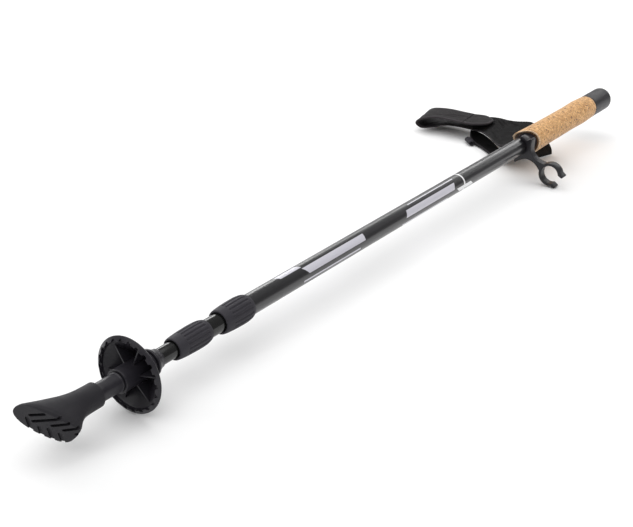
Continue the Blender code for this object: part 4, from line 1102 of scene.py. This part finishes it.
# Parts kept from the frame
KEPT = {PLASTIC: ["upper_plug", "lower_plug", "strap_wedge"], NYLON: ["upper_expander", "lower_expander"],
        STEEL: ["upper_screw", "lower_screw", "upper_cone_nut", "lower_cone_nut", "carbide_tip",
                "tip_washer"],
        WEBBING: ["strap_tape"]}
for finish, nodes in KEPT.items():
    for node in nodes:
        for place in frame["nodes"][node].material_slots:
            place.material = finish


# Studio
def floor():
    """A wide sheet of white paper."""
    made = bmesh.new()
    bmesh.ops.create_grid(made, x_segments=8, y_segments=8, size=6.0)
    finish = Finish("studio paper", 0.9)
    finish.colour(finish.mix(finish.noise(finish.place, 3.0, 2.0), grey(0.90), grey(0.93)))
    paper = formed("studio_floor", made, Matrix.Identity(4))
    paper.data.materials.append(finish.made)


def softbox(name, spot, aim, size, power):
    """A flat lamp that points from its spot to its aim."""
    lamp = bpy.data.lights.new(name, "AREA")
    lamp.shape = "RECTANGLE"
    lamp.size, lamp.size_y = size
    lamp.energy = power
    turn = (Vector(aim) - Vector(spot)).to_track_quat("-Z", "Y").to_matrix().to_4x4()
    hung_on(name, lamp, Matrix.Translation(spot) @ turn)


def studio():
    floor()
    softbox("key_strip", (1.35, 0.72, 0.8), (0.1, 0, 0.03), (3.4, 0.22), 9)
    softbox("overhead", (-1.3, 0, 4), (-1, 0, 0), (8, 8), 300)
    softbox("back_fill", (0.6, 1.8, 0.9), (0, 0, 0), (2.4, 1), 14)
    world = bpy.data.worlds.new("studio_light")
    world.use_nodes = True
    sky = world.node_tree.nodes["Background"]
    sky.inputs["Color"].default_value = (1.0, 1.0, 1.0, 1.0)
    sky.inputs["Strength"].default_value = 0.28
    bpy.context.scene.world = world


# The photograph's width and its lens in pixels, and where it was taken from, in the pole's own
# frame: the camera's right, its line of sight and its spot in metres
PHOTO_WIDTH = 633.0
LENS_PIXELS = 1200.0
SENSOR = 36.0
CAMERA_RIGHT = Vector((0.570617, -0.821216, 0.0))
CAMERA_AHEAD = Vector((0.75051, 0.521488, -0.405937))
CAMERA_SPOT = Vector((-0.39226, -0.47795, 0.37343))


def camera():
    """The photograph's viewpoint."""
    above = CAMERA_RIGHT.cross(CAMERA_AHEAD).normalized()
    basis = Matrix((CAMERA_RIGHT.normalized(), above, -CAMERA_AHEAD.normalized())).transposed()
    lens = bpy.data.cameras.new("photo_camera")
    lens.sensor_fit = "HORIZONTAL"
    lens.sensor_width = SENSOR
    lens.lens = SENSOR * LENS_PIXELS / PHOTO_WIDTH
    tilt = POLE.to_3x3() @ basis
    spot = Matrix.Translation(POLE @ CAMERA_SPOT)
    bpy.context.scene.camera = hung_on("photo_camera", lens, spot @ tilt.to_4x4())


studio()
camera()
bpy.context.scene.view_settings.view_transform = "Standard"

bpy.context.view_layer.update()
